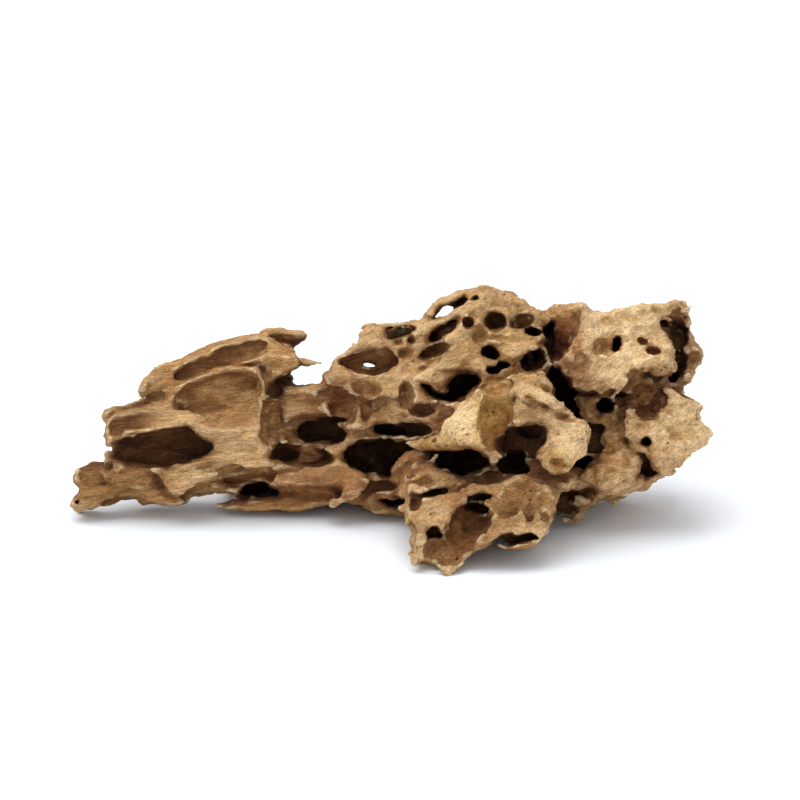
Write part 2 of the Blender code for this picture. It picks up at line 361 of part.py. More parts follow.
# Openings cut through the faces.
FACE_WINDOWS = [
    Window("nose_hollow", floor=41, rounding=4, outline=[
        (53, 67.3), (56, 68.5), (60, 69), (66, 70), (70, 68.8), (72, 66), (72.3, 63), (70, 60),
        (67.5, 56.5), (66.5, 53), (60, 54.5), (54, 54.8), (50, 57), (51, 62)]),
    Window("front_under", floor=38, rounding=1.2, outline=[
        (45.4, 15.2), (46.4, 16.8), (49.6, 18.6), (53, 20), (55, 20.2), (56.4, 18.8), (58, 18.6),
        (60, 19.8), (63, 20), (66, 19.4), (67.6, 17.8), (66.6, 16.2), (62, 15), (57, 14.2), (51, 14.2),
        (47, 14.6)]),
    Window("hood_pit", floor=18, rounding=0.8, outline=[
        (15.4, 19.5), (16.3, 22), (19, 23.2), (21.7, 22), (23, 19), (22.5, 17.3), (20, 18), (17, 16.8),
        (15.8, 17)]),
    Window("eye_hole", floor=84, rounding=1, outline=[
        (101.8, 105.5), (102.5, 109), (104.5, 110.6), (106.5, 109.8), (107.3, 106.5), (106.2, 103.3),
        (104, 102.3), (102.5, 103.2)]),
    Window("plate_hole", floor=68, rounding=0.8, outline=[
        (114.5, 61), (115.3, 63), (118, 64.3), (120.2, 63.5), (120.6, 61), (119.5, 59), (117.3, 59),
        (115.5, 60)]),
]

# Holes that light shines through.
THROUGH_WINDOWS = [
    Window("arch_hole", floor=170, rounding=0.6, outline=[
        (21.6, 120.4), (22, 122), (23.2, 123.8), (25, 125.2), (27, 125.6), (28.4, 124.6), (28.6, 123.2),
        (27.2, 121.6), (25, 120.3), (23, 119.8)]),
    Window("slot_through", floor=170, rounding=0.6, outline=[
        (-14.6, 97.6), (-12.6, 98.7), (-9.6, 98.1), (-7, 97.3), (-7.4, 96.3), (-9.4, 95.7),
        (-11.6, 95.6), (-13.8, 96.6)]),
]

# Rounded hollows cut into the faces.
FACE_HOLLOWS = [
    Hollow("left_shard_dish", (-112, 72), floor=61.6, radii=(19, 5.4, 10), roll=8),
    Hollow("left_shard_end", (-129, 68), floor=61, radii=(4.5, 6, 8)),
    Hollow("middle_scoop", (-80, 84), floor=71, radii=(21, 11, 13), roll=10),
    Hollow("middle_scoop_left", (-93, 83), floor=70, radii=(12, 6, 12), roll=30),
    Hollow("middle_scoop_low", (-76, 73), floor=65, radii=(17, 6, 10), roll=4),
    Hollow("low_face_dish", (-72, 57), floor=62, radii=(13, 5, 10)),
    Hollow("low_face_dish_b", (-82, 49.5), floor=62, radii=(15, 4, 10), roll=12),
    Hollow("low_shard_dish", (-99, 44), floor=60.5, radii=(8, 6, 8), roll=40),
    Hollow("top_trough", (-88, 97.6), floor=72.6, radii=(18, 4.6, 9), roll=22),
    Hollow("top_trough_mid", (-72, 103), floor=76, radii=(17, 5.4, 9), roll=14),
    Hollow("back_tip_dish", (-50, 110.4), floor=88.4, radii=(8, 2.4, 6), roll=2),
    Hollow("prong_crack", (-128, 40.9), floor=80, radii=(12, 0.9, 8), roll=1),
    Hollow("prong_end", (-147.8, 32.6), floor=70.5, radii=(1.9, 1.2, 5)),
    Hollow("prong_knot", (-143.5, 41.2), floor=73, radii=(2.6, 1.2, 6)),
    Hollow("face_dish_a", (-11, 87), floor=56.6, radii=(7.5, 4.2, 6), roll=-15),
    Hollow("face_dish_b", (-4.5, 79.5), floor=59.5, radii=(5, 3.2, 8)),
    Hollow("face_dish_c", (7, 84), floor=56, radii=(3.6, 6, 7), roll=10),
    Hollow("face_dish_d", (14, 76), floor=56.5, radii=(7, 3.4, 8)),
    Hollow("face_dish_e", (-11.8, 73.5), floor=66, radii=(1.4, 3, 8)),
    Hollow("lower_plate_dish", (-44, 43.5), floor=64.5, radii=(16, 3, 8), roll=3),
    Hollow("lower_right_face", (-4, 40.5), floor=66, radii=(8, 3.5, 10)),
    Hollow("long_dish", (19, 103.3), floor=60, radii=(8.6, 3.8, 12), roll=22),
    Hollow("small_pit_a", (3, 108), floor=61, radii=(3, 2.2, 6), roll=10),
    Hollow("small_pit_b", (9, 109), floor=61, radii=(2.6, 2.6, 6)),
    Hollow("small_dish_c", (6.5, 102.8), floor=60, radii=(4.4, 3.4, 8), roll=25),
    Hollow("facet", (41, 111), floor=50, radii=(4, 6, 8)),
    Hollow("bowl", (50, 124.5), floor=50.5, radii=(7.5, 5.5, 8), roll=-10),
    Hollow("upper_left_dish_a", (32.4, 126.4), floor=66, radii=(4.2, 1.9, 12), roll=28),
    Hollow("upper_left_dish_c", (39, 128.2), floor=56, radii=(2.4, 1.1, 8), roll=20),
    Hollow("upper_left_dish_b", (35.5, 116.5), floor=52, radii=(2.8, 3.4, 8), roll=30),
    Hollow("top_dish_a", (61, 117.5), floor=54, radii=(7, 3.6, 12), roll=18),
    Hollow("top_dish_b", (65.5, 112), floor=62, radii=(4.3, 2.3, 14), roll=-5),
    Hollow("side_bowl", (66, 99), floor=58, radii=(6.6, 5, 14), roll=25),
    Hollow("side_hole", (62.3, 99.6), floor=74, radii=(1.7, 1.5, 30), roll=30),
    Hollow("side_dark", (67.3, 102), floor=68, radii=(2.4, 3.6, 16)),
    Hollow("shelf_dish", (55, 104.5), floor=42, radii=(6, 2.2, 6)),
    Hollow("shelf_under", (52, 97), floor=66, radii=(3.6, 2.4, 26)),
    Hollow("shelf_under_b", (47, 94.5), floor=62, radii=(4, 2.2, 24)),
    Hollow("nose_scoop", (47.6, 74), floor=27.5, radii=(8.6, 17, 11), roll=-3),
    Hollow("nose_scoop_top", (47.5, 87.5), floor=34, radii=(9, 5, 12)),
    Hollow("nose_scoop_low", (56, 60), floor=36, radii=(9, 6, 16)),
    Hollow("nose_pit", (28, 75.5), floor=34, radii=(2, 1.3, 8)),
    Hollow("nose_left_pit", (29.4, 64.4), floor=19.5, radii=(1, 0.8, 4)),
    Hollow("nose_hollow_top", (64, 66), floor=47, radii=(7, 4, 14)),
    Hollow("nose_blade_dish", (67.5, 78), floor=16.4, radii=(9, 2.6, 5), roll=-19),
    Hollow("nose_small_dish", (79, 72.6), floor=18, radii=(4.4, 2.2, 6)),
    Hollow("knob_pit", (75.5, 51.6), floor=14.5, radii=(4.4, 3.4, 5), roll=-30),
    Hollow("front_bowl", (36.6, 25.4), floor=19, radii=(9.8, 9, 12), roll=20),
    Hollow("front_bowl_way", (31.5, 18.5), floor=15.5, radii=(8.5, 8.5, 11), roll=-40),
    Hollow("front_bowl_top", (39.4, 31), floor=30, radii=(6.8, 2.4, 14), roll=-10),
    Hollow("front_arch", (40.4, 36), floor=25, radii=(6.4, 2.1, 12), roll=6),
    Hollow("front_bowl_low", (25, 12.5), floor=11.5, radii=(9, 8, 10), roll=-35),
    Hollow("hood_trough", (18.5, 12), floor=10, radii=(4, 6.5, 10)),
    Hollow("foot_hollow", (15, 5.5), floor=12, radii=(5, 2.2, 16), roll=5),
    Hollow("left_fold", (8.5, 18), floor=20, radii=(3, 7, 14)),
    Hollow("left_fold_b", (10, 34), floor=26, radii=(4, 5, 12), roll=10),
    Hollow("front_top_dish", (46, 45.5), floor=32, radii=(10, 3.6, 12), roll=12),
    Hollow("front_top_dark", (20, 38), floor=34, radii=(8, 2, 16), roll=12),
    Hollow("front_side_dish", (60.5, 42.8), floor=18, radii=(5.2, 2, 5), roll=4),
    Hollow("eye_dish", (98.5, 105.8), floor=40, radii=(6.4, 4.6, 7), roll=10),
    Hollow("right_small_dish", (121, 103.5), floor=42.6, radii=(3.8, 2.8, 6), roll=-10),
    Hollow("right_small_dish_b", (116.2, 108.3), floor=43, radii=(3, 1.8, 5)),
    Hollow("right_low_dish", (100, 83.6), floor=38, radii=(4, 2.4, 5), roll=25),
    Hollow("right_under_dish", (113, 92), floor=46, radii=(5, 4, 8), roll=35),
    Hollow("plate_top_dish", (119, 76), floor=50, radii=(5, 5.5, 14)),
    Hollow("black_round", (99.3, 78.2), floor=86, radii=(4.3, 4.1, 50)),
    Hollow("round_neighbour_rim", (107.4, 80.4), floor=54, radii=(3.8, 4, 14)),
]

# Shallow scoops in the surface: across, up, radius across, radius up, depth, roll.
SCOOPS = [
    (-88, 78, 12, 4, 2.2, 10), (-72, 78, 9, 7, 1.8, 0), (-76, 88, 12, 5, 2, 8), (-67, 72, 6, 4, 1.2, 0),
    (-78, 61, 12, 3, 1.2, 4), (-66, 61, 4.5, 4, 1.2, 0), (-70, 51.6, 10, 2.2, 1.2, 2),
    (-92, 50, 7, 2.4, 1, 15), (-120, 70, 8, 3, 1.6, 8), (-105, 75, 8, 3.4, 1.4, 10),
    (-112, 61, 12, 3.4, 1.8, 4), (-98, 59, 9, 4, 1.8, -6), (-124, 57.5, 8, 2.6, 1.4, 0),
    (-120, 46.5, 8, 2.4, 1.4, -2), (-136, 48.6, 7, 1.8, 1, 8), (-140, 34.5, 8, 1.6, 1, 8),
    (-124, 38, 7, 1.4, 1, 4), (-112, 37.3, 4, 2.2, 1, 0), (-108, 33.3, 7, 1.1, 0.8, 4),
    (-110, 90, 6, 2.6, 1.6, 40), (-96, 93.5, 8, 2.6, 1.4, 25), (-80, 99.5, 9, 3, 1.6, 18),
    (-66, 105.5, 7, 3, 1.4, 15), (-54, 97, 4, 2.4, 1.4, 10), (-74, 43.3, 8, 1.5, 1.2, 8),
    (-62, 45.8, 5, 1.3, 1.2, 5), (-55, 31.4, 16, 2.4, 1.4, 3), (-36, 34, 10, 1.8, 1.2, 5),
    (-48, 44.6, 12, 1.8, 1.2, 2), (-24, 46, 7, 2.8, 1.4, -10), (-22, 34.5, 5, 1.6, 1.2, 8),
    (-16, 41, 5, 2.6, 1.4, 0), (-5, 40, 8, 2.8, 2.4, 0), (-26, 64.5, 4, 2, 1, 0),
    (-43, 54, 10, 3, 1.8, -4), (-42, 81, 9, 3, 1.6, -10), (-30, 84, 5, 4.5, 1.8, 20),
    (-24, 76, 5, 5, 2, 0), (-36, 74.5, 7, 1.6, 1.2, 0), (-12, 86, 6.5, 3.6, 1.6, -15),
    (-3, 88, 4.5, 2.6, 1.4, 10), (7, 91, 5, 2.2, 1.4, 25), (6, 80, 4.5, 3.4, 1.8, 0),
    (14, 79, 3.6, 2.4, 1.6, 0), (16, 73, 6, 1.8, 1.6, 0), (4, 73, 4, 1.4, 1.2, 0),
    (-6, 99, 9, 3.4, 2, 5), (-20, 106, 6, 1.8, 1.2, 25), (-11, 111, 4.6, 3.4, 1.4, 20),
    (-8, 107.4, 5, 1.4, 1, 10), (16, 112.6, 4, 1.6, 1.2, 30), (12, 108, 3.4, 2, 1.4, 30),
    (28, 105.3, 4, 1.8, 1.2, 35), (30, 98, 8, 4.4, 1.6, 25), (40, 104, 3.4, 4, 1.4, 0),
    (34, 125.4, 3, 2, 1.4, 20), (38, 121, 2.2, 3.6, 1.2, -10), (48, 128.2, 6, 2, 1.2, 5),
    (58.5, 124.5, 3.6, 2.6, 1.4, -30), (62, 113, 5, 1.8, 1.6, 0), (68, 116, 3.6, 2.2, 1.4, 10),
    (57, 119.5, 2.2, 4, 1.2, 0), (40, 116.5, 1.8, 3.4, 1, 0), (64.5, 109.7, 4.4, 1.4, 1.4, 0),
    (52, 89.5, 5, 2.6, 1.6, 0), (66, 89.6, 5, 1.8, 1.4, -8), (64, 83.6, 5, 2, 1, -20),
    (74, 79, 4, 1.3, 1, -15), (62, 74, 5, 2.6, 1.4, 10), (71, 72, 3.6, 1.8, 1.2, 0),
    (30.5, 69, 4, 4, 1.2, 0), (36, 62.5, 3.4, 2.8, 1.2, 0), (34, 77, 3.4, 2.2, 1, 30),
    (18, 62, 6, 1.5, 0.9, 8), (23, 77.6, 3.6, 1.4, 1.2, -20), (84, 67.5, 3.4, 2.2, 1.2, 0),
    (80, 59, 3.4, 3.6, 1.4, 0), (86.6, 60.4, 2.6, 2.2, 1, 0), (76, 64.6, 2.4, 2.4, 1.2, 0),
    (72, 50.4, 2.6, 2, 1, 0), (78, 50.6, 3, 2.2, 1.2, 0), (20, 29, 3.4, 4.4, 1.4, 15),
    (22, 13, 4.4, 4.6, 1.6, -40), (30, 21, 3.2, 4, 1.4, 0), (40, 24, 5, 3.4, 1.6, 25),
    (36, 10, 3, 5.4, 1, -42), (43, 17.4, 2.4, 5, 1, -42), (11, 8, 2.2, 1.6, 0.9, 0),
    (11, 22.6, 2.4, 4, 1.2, 0), (24, 39, 5, 1.4, 1.4, 12), (41, 44.6, 6, 1.8, 1.4, 10),
    (52, 31, 2.6, 5, 1.4, -10), (56.5, 33, 2.3, 7.5, 2.2, -14), (63, 30, 2.5, 8, 2.4, 2),
    (69.6, 29, 2.2, 7, 2.2, 14), (60, 40, 4, 1.8, 1.4, 0), (53, 16.4, 3.6, 1.6, 1.4, 0),
    (52, 23.4, 2.2, 1.6, 0.8, 0), (20, 50, 5, 3, 2, 0), (8, 48, 2.6, 4.4, 1.8, 20),
    (16, 44, 3.4, 3.4, 2.2, 0), (33, 51, 6, 2.6, 2, 0), (70, 43.5, 4, 2.2, 1.6, 0),
    (80, 44, 4.4, 2, 1.8, 0), (78, 90, 2, 3.4, 1.6, 0), (88, 97, 4, 4.8, 2, 0),
    (86, 106, 2.6, 3.4, 1.6, 0), (90, 89.4, 4.4, 2, 1.2, 0), (101, 97, 4.6, 4.6, 1.4, 20),
    (108, 92.6, 3, 3, 1.2, 0), (112, 104.6, 3.4, 3.4, 1.2, 0), (91, 117, 3.4, 3.2, 1.4, 0),
    (100, 117, 4.4, 2.4, 1.2, 0), (108, 120, 3.6, 1.8, 1, 0), (116, 121.6, 4.4, 2, 1.2, 0),
    (124, 122.6, 3.6, 1.8, 1, 0), (133, 123.6, 4, 1.8, 1.4, 0), (122, 109, 3, 3.4, 1.4, 0),
    (106, 101, 2.4, 2.4, 0.9, 0), (124, 96, 3, 2, 1, 0), (82, 122, 3.6, 1.8, 1.4, 0),
    (74, 121.4, 3.6, 1.8, 1.4, 0), (139, 101, 2.6, 2.2, 1.4, 0), (138, 93, 2.2, 3, 1.4, 0),
    (140, 107, 2.2, 2.4, 1.2, 0), (131, 83, 4.4, 2.2, 1.2, 10), (137, 78.6, 4.4, 1.6, 1, 0),
    (133, 75, 5, 2.2, 1.2, 0), (126, 72, 3.4, 3, 1.2, 0), (116, 67.6, 4.4, 2.6, 1.4, 0),
    (125, 62, 3.4, 4, 1.2, 0), (133, 65, 4.4, 3, 1.4, 10), (142, 66, 3.4, 2.4, 1.2, 0),
    (127, 53, 2.8, 4, 1.2, 0), (137, 58, 3.4, 2, 1, 30), (111, 68, 2.2, 2.6, 1, 0),
    (96, 76, 3, 4.4, 1.6, 0), (104, 67, 3.4, 4, 1.6, 0), (101, 58, 3, 3.4, 1.6, 0),
    (92, 47, 3.6, 2.6, 1.4, 0), (102, 46.6, 4.4, 2.2, 1.6, 0), (110, 51, 4, 2.6, 1.8, 0),
    (110, 43, 4, 1.6, 1.4, 10), (120, 44.6, 3.4, 2, 1.6, 20), (87, 37.4, 2.4, 2, 1, 0),
    (84, 25, 2.4, 1.6, 1, 0), (97, 40, 2, 1.6, 0.9, 0), (86, 60.6, 2, 2, 1.2, 0),
    (93, 62, 2, 4, 1.4, 0),
]

# Cells eaten into the sides that the front view does not show, at seeded places.
CELL_SPREADS = [
    Cells("back_scoops", seed=11, count=60, look=(0, -1, 0), middle=(0, 200, 78),
          half=(145, 0, 48), radii=(6, 13), dig=0.5, long=1),
    Cells("back_pits", seed=12, count=50, look=(0, -1, 0), middle=(0, 200, 78),
          half=(145, 0, 48), radii=(2.5, 5.5), dig=0.95, long=1.7),
    Cells("top_scoops", seed=13, count=60, look=(0, -0.1, -1), middle=(0, 88, 200),
          half=(145, 36, 0), radii=(4, 10), dig=0.5, long=1),
    Cells("top_pits", seed=17, count=30, look=(0, -0.1, -1), middle=(0, 88, 200),
          half=(145, 36, 0), radii=(2.2, 5), dig=0.95, long=1.6),
    Cells("under_scoops", seed=14, count=60, look=(0, 0.1, 1), middle=(0, 65, -100),
          half=(145, 60, 0), radii=(5, 10), dig=0.5, long=1),
    Cells("right_end_cells", seed=15, count=14, look=(-1, 0, 0), middle=(250, 80, 80),
          half=(0, 25, 40), radii=(3, 7), dig=0.6, long=1),
    Cells("left_end_cells", seed=16, count=10, look=(1, 0, 0), middle=(-250, 84, 60),
          half=(0, 12, 25), radii=(3, 5), dig=0.5, long=1),
]


def add_object(name, mesh, group):
    obj = bpy.data.objects.new(name, mesh)
    group.objects.link(obj)
    return obj


def curve_mesh(name, curve):
    """The mesh of a curve with its loose caps welded on."""
    obj = add_object(name, curve, bpy.context.scene.collection)
    evaluated = obj.evaluated_get(bpy.context.evaluated_depsgraph_get())
    mesh = bpy.data.meshes.new_from_object(evaluated)
    bpy.data.objects.remove(obj)
    bpy.data.curves.remove(curve)
    shape = bmesh.new()
    shape.from_mesh(mesh)
    bmesh.ops.remove_doubles(shape, verts=shape.verts, dist=WELD)
    shape.to_mesh(mesh)
    shape.free()
    return mesh


def ball_mesh(centre, radii, roll=0, fineness=4):
    """An ellipsoid at (across, up, deep), rolled in the view by degrees."""
    across, up, deep = centre
    bpy.ops.mesh.primitive_ico_sphere_add(
        subdivisions=fineness, radius=MM, location=(across * MM, deep * MM, up * MM),
        rotation=(0, -math.radians(roll), 0), scale=(radii[0], radii[2], radii[1]))
    ball = bpy.context.object
    bpy.ops.object.transform_apply(location=True, rotation=True, scale=True)
    mesh = ball.data
    bpy.data.objects.remove(ball)
    return mesh


def slab_mesh(slab):
    """A flat outline with rounded edges, stood up in the view and leaned back."""
    curve = bpy.data.curves.new(slab.name, "CURVE")
    curve.dimensions = "2D"
    curve.fill_mode = "BOTH"
    spline = curve.splines.new("POLY")
    spline.points.add(len(slab.outline) - 1)
    for point, (across, up) in zip(spline.points, slab.outline):
        point.co = (across * MM, up * MM, 0, 1)
    spline.use_cyclic_u = True
    curve.extrude = ((slab.back - slab.front) / 2 - slab.rounding) * MM
    curve.bevel_depth = slab.rounding * MM
    curve.bevel_resolution = 3
    curve.offset = -slab.rounding * MM
    mesh = curve_mesh(slab.name, curve)
    across = sum(point[0] for point in slab.outline) / len(slab.outline)
    up = sum(point[1] for point in slab.outline) / len(slab.outline)
    pivot = Matrix.Translation(Vector((across, 0, up)) * MM)
    stand = Matrix.Rotation(math.radians(90), 4, "X")
    lean = Matrix(((1, 0, 0, 0), (slab.lean_right, 1, slab.lean_up, 0), (0, 0, 1, 0), (0, 0, 0, 1)))
    place = Matrix.Translation(Vector((0, (slab.front + slab.back) / 2, 0)) * MM)
    mesh.transform(place @ pivot @ lean @ pivot.inverted() @ stand)
    return mesh


def window_mesh(window):
    """The cutter of an opening, from in front of everything to its floor."""
    return slab_mesh(Slab(window.name, window.floor - WINDOW_REACH, window.floor, window.rounding,
                          outline=window.outline))


def hollow_mesh(hollow):
    across, up = hollow.centre
    return ball_mesh((across, up, hollow.floor - hollow.radii[2]), hollow.radii, hollow.roll)


def strand_meshes(name, points):
    """A tapering round strand through (across, up, deep, radius), with ball ends."""
    curve = bpy.data.curves.new(name, "CURVE")
    curve.dimensions = "3D"
    curve.bevel_depth = MM
    curve.bevel_resolution = 3
    curve.use_fill_caps = True
    spline = curve.splines.new("BEZIER")
    spline.resolution_u = 6
    spline.bezier_points.add(len(points) - 1)
    for point, (across, up, deep, radius) in zip(spline.bezier_points, points):
        point.co = Vector((across, deep, up)) * MM
        point.radius = radius
        point.handle_left_type = point.handle_right_type = "AUTO"
    ends = [ball_mesh(point[:3], (point[3],) * 3, fineness=3) for point in (points[0], points[-1])]
    return [curve_mesh(name, curve)] + ends


def joined(name, meshes, group):
    """One object that holds all the meshes, which are used up."""
    objects = [add_object(name, mesh, group) for mesh in meshes]
    bpy.ops.object.select_all(action="DESELECT")
    for obj in objects:
        obj.select_set(True)
    bpy.context.view_layer.objects.active = objects[0]
    bpy.ops.object.join()
    return objects[0]


def apply_modifiers(obj):
    bpy.ops.object.select_all(action="DESELECT")
    obj.select_set(True)
    bpy.context.view_layer.objects.active = obj
    for modifier in list(obj.modifiers):
        bpy.ops.object.modifier_apply(modifier=modifier.name)


def mesh_arrays(mesh):
    """The places, normals and edges of a mesh, the edges sorted so that sums come out alike."""
    places = np.empty(len(mesh.vertices) * 3)
    normals = np.empty(len(mesh.vertices) * 3)
    edges = np.empty(len(mesh.edges) * 2, dtype=np.int64)
    mesh.vertices.foreach_get("co", places)
    mesh.vertex_normals.foreach_get("vector", normals)
    mesh.edges.foreach_get("vertices", edges)
    edges = np.unique(np.sort(edges.reshape(-1, 2), axis=1), axis=0)
    return places.reshape(-1, 3), normals.reshape(-1, 3), edges


def eased_once(values, edges):
    """Each vertex's value averaged with its neighbours'."""
    count = len(values)
    first, second = edges.T
    total = np.bincount(first, values[second], count) + np.bincount(second, values[first], count)
    return (values + total) / (1 + np.bincount(edges.ravel(), minlength=count))


def fuse(obj, smoothing=0):
    """Melts overlapping meshes into one skin, then rounds it by some passes."""
    remesh = obj.modifiers.new("Fuse", "REMESH")
    remesh.mode = "VOXEL"
    remesh.voxel_size = GRAIN * MM
    apply_modifiers(obj)
    places, _, edges = mesh_arrays(obj.data)
    for _ in range(smoothing):
        means = np.column_stack([eased_once(axis, edges) for axis in places.T])
        places += SMOOTHING * (means - places)
    obj.data.vertices.foreach_set("co", places.ravel())
    obj.data.update()


def displace(obj, size, height, level=0.5, group=""):
    """Pushes the surface in and out by a cloudy pattern of a size; at level it stays."""
    texture = bpy.data.textures.new("clouds", "CLOUDS")
    texture.noise_scale = size * MM
    texture.noise_depth = 2
    modifier = obj.modifiers.new("Displace", "DISPLACE")
    modifier.texture = texture
    modifier.texture_coords = "GLOBAL"
    modifier.strength = height * MM
    modifier.mid_level = level
    modifier.vertex_group = group
    apply_modifiers(obj)
    bpy.data.textures.remove(texture)


def cut(obj, cutter):
    """Takes the cutter out of the object and removes it."""
    boolean = obj.modifiers.new("Cut", "BOOLEAN")
    boolean.operation = "DIFFERENCE"
    boolean.object = cutter
    boolean.solver = SOLVER
    apply_modifiers(obj)
    bpy.data.objects.remove(cutter)


def skin(obj):
    """A tree of the object's faces, for rays."""
    shape = bmesh.new()
    shape.from_mesh(obj.data)
    tree = BVHTree.FromBMesh(shape)
    shape.free()
    return tree


def eased(values, edges, passes):
    for _ in range(passes):
        values = eased_once(values, edges)
    return values


def hidden_weights(obj, reach):
    """0 where the front view shows the surface, growing to 1 away from it."""
    tree = skin(obj)
    places, normals, edges = mesh_arrays(obj.data)
    weights = np.ones(len(places))
    for index in np.nonzero(normals[:, 1] < FACING)[0]:
        start = Vector(places[index]) + Vector(normals[index]) * RAY_LIFT
        if tree.ray_cast(start, TO_VIEWER)[0] is None:
            weights[index] = 0
    for _ in range(round(reach / GRAIN)):
        weights = np.minimum(weights, eased_once(weights, edges))
    return weights


def add_lumps(obj, reach, lumps):
    """Makes the hidden sides lumpy: lumps holds each pattern's size, height and level."""
    weights = hidden_weights(obj, reach)
    group = obj.vertex_groups.new(name="hidden")
    steps = np.round(weights * WEIGHT_STEPS).astype(int)
    for step in range(1, WEIGHT_STEPS + 1):
        group.add(np.nonzero(steps == step)[0].tolist(), step / WEIGHT_STEPS, "REPLACE")
    for size, height, level in lumps:
        displace(obj, size, height, level, group.name)
    obj.vertex_groups.clear()


def shell_pattern(place, size):
    """Round-bottomed cells that meet in sharp ridges: from 0 in a cell's middle to 1 on a ridge."""
    spot = Vector((place.x / GRAIN_STRETCH, place.y, place.z)) / size
    spot += noise.noise_vector(spot * CELL_WARP[0]) * CELL_WARP[1]
    return min(1, noise.voronoi(spot)[0][0] / CELL_RIM) ** 2


def shell_heights(places, shells):
    """The sum of the cells' patterns at places in millimetres, as heights around zero."""
    return np.array([sum(lift * (shell_pattern(Vector(place), size) - SHELL_LEVEL) for size, lift in shells)
                     for place in places])


def roughen(wood):
    """Weathers every side: the front only in and out of the view, the others along their normals.

    The edges of the front's plates are drawn back too, so that the plates are domed.
    """
    places, normals, edges = mesh_arrays(wood.data)
    hidden = hidden_weights(wood, reach=ROUGHEN_REACH)
    heights = shell_heights(places / MM, SHELLS)
    passes = round((EDGE_ROUNDING / GRAIN) ** 2)
    facing = eased(-normals[:, 1], edges, passes)
    drawn_back = EDGE_DROP * np.clip(1 - facing, 0, 0.5)
    shifts = normals * (hidden * (heights * BACK_SHARE - BACK_SHRINK))[:, None]
    shifts[:, 1] += (1 - hidden) * (drawn_back - heights * np.clip(-normals[:, 1], 0, 1))
    wood.data.vertices.foreach_set("co", (places + shifts * MM).ravel())


def front_depth(tree, across, up, spread):
    """How deep the first surface lies at a place in the view, or None past the edge."""
    depths = []
    for side, rise in ((0, 0), (spread, 0), (-spread, 0), (0, spread), (0, -spread)):
        place = tree.ray_cast(Vector((across + side, -WINDOW_REACH, up + rise)) * MM, -TO_VIEWER)[0]
        if place is not None:
            depths.append(place.y / MM)
    return min(depths, default=None)


def scoop_meshes(tree, scoop):
    """A flat ball that dips into the surface by the scoop's depth."""
    across, up, radius_across, radius_up, depth, roll = scoop
    surface = front_depth(tree, across, up, SCOOP_PROBE)
    if surface is None:
        return []
    radius_deep = max(min(radius_across, radius_up), depth * SCOOP_ROUNDNESS)
    centre = (across, up, surface + depth - radius_deep)
    radii = (radius_across * SCOOP_SPREAD, radius_up * SCOOP_SPREAD, radius_deep)
    return [ball_mesh(centre, radii, roll, fineness=3)]


def cell_meshes(tree, cells):
    """Long rounded cells in the side that a seeded spread of rays meets."""
    chance = random.Random(cells.seed)
    look = Vector(cells.look).normalized()
    meshes = []
    for _ in range(cells.count):
        start = [mid + chance.uniform(-half, half) for mid, half in zip(cells.middle, cells.half)]
        start = Vector(start) * MM
        stretch = chance.uniform(*CELL_STRETCH)
        radius = cells.radii[0] * (cells.radii[1] / cells.radii[0]) ** chance.random()
        roll = chance.uniform(-CELL_ROLL, CELL_ROLL)
        squash = chance.uniform(*CELL_SQUASH)
        place, normal = tree.ray_cast(start, look)[:2]
        if place is None or (look.x == 0 and place.y < FACE_DEPTH * MM):
            continue
        depth = radius * (cells.long - 1 + cells.dig)
        behind = tree.ray_cast(place + look * depth * MM, look)[3]
        if behind is None or behind < depth * MM:
            continue
        centre = place / MM + (normal - look).normalized() * radius * (1 - cells.dig)
        radii = [radius * stretch, radius * squash, radius]
        radii[2 if abs(look.y) > abs(look.z) else 1] *= cells.long
        meshes.append(ball_mesh((centre.x, centre.z, centre.y), radii, roll, fineness=3))
    return meshes


def drop_crumbs(obj):
    """Removes the small loose pieces that cutting left, and keeps the lump."""
    shape = bmesh.new()
    shape.from_mesh(obj.data)
    unseen = set(shape.verts)
    pieces = []
    while unseen:
        stack = [unseen.pop()]
        piece = []
        while stack:
            vertex = stack.pop()
            piece.append(vertex)
            for edge in vertex.link_edges:
                other = edge.other_vert(vertex)
                if other in unseen:
                    unseen.remove(other)
                    stack.append(other)
        pieces.append(piece)
    pieces.sort(key=len)
    for piece in pieces[:-1]:
        bmesh.ops.delete(shape, geom=piece, context="VERTS")
    shape.to_mesh(obj.data)
    shape.free()


def make_core(parts, cutters):
    """The mass of the lump, with its deep openings cut."""
    meshes = [slab_mesh(slab) for slab in CORE_SLABS]
    meshes += [ball_mesh(lump.centre, lump.radii, lump.roll) for lump in CORE_LUMPS]
    core = joined("core", meshes, parts)
    fuse(core, smoothing=3)
    add_lumps(core, reach=9, lumps=CORE_LUMPINESS)
    fuse(core, smoothing=1)
    meshes = [window_mesh(window) for window in DEEP_WINDOWS]
    meshes += [hollow_mesh(hollow) for hollow in DEEP_HOLLOWS]
    hollows = joined("deep_hollows", meshes, cutters)
    fuse(hollows)
    displace(hollows, *WALL_WAVES)
    cut(core, hollows)
    return core


def make_faces(parts):
    """The blades, ledges and crusts in front of the mass."""
    faces = joined("faces", [slab_mesh(slab) for slab in FACE_SLABS], parts)
    fuse(faces, smoothing=1)
    add_lumps(faces, reach=6, lumps=FACE_LUMPINESS)
    fuse(faces)
    return faces


def carve(wood, cutters):
    """Cuts the hollows of the faces and the cells of the other sides."""
    tree = skin(wood)
    meshes = [window_mesh(window) for window in FACE_WINDOWS]
    meshes += [hollow_mesh(hollow) for hollow in FACE_HOLLOWS]
    for cells in CELL_SPREADS:
        meshes += cell_meshes(tree, cells)
    hollows = joined("face_hollows", meshes, cutters)
    fuse(hollows)
    displace(hollows, *WALL_WAVES)
    cut(wood, hollows)
    cut(wood, joined("through_holes", [window_mesh(window) for window in THROUGH_WINDOWS], cutters))


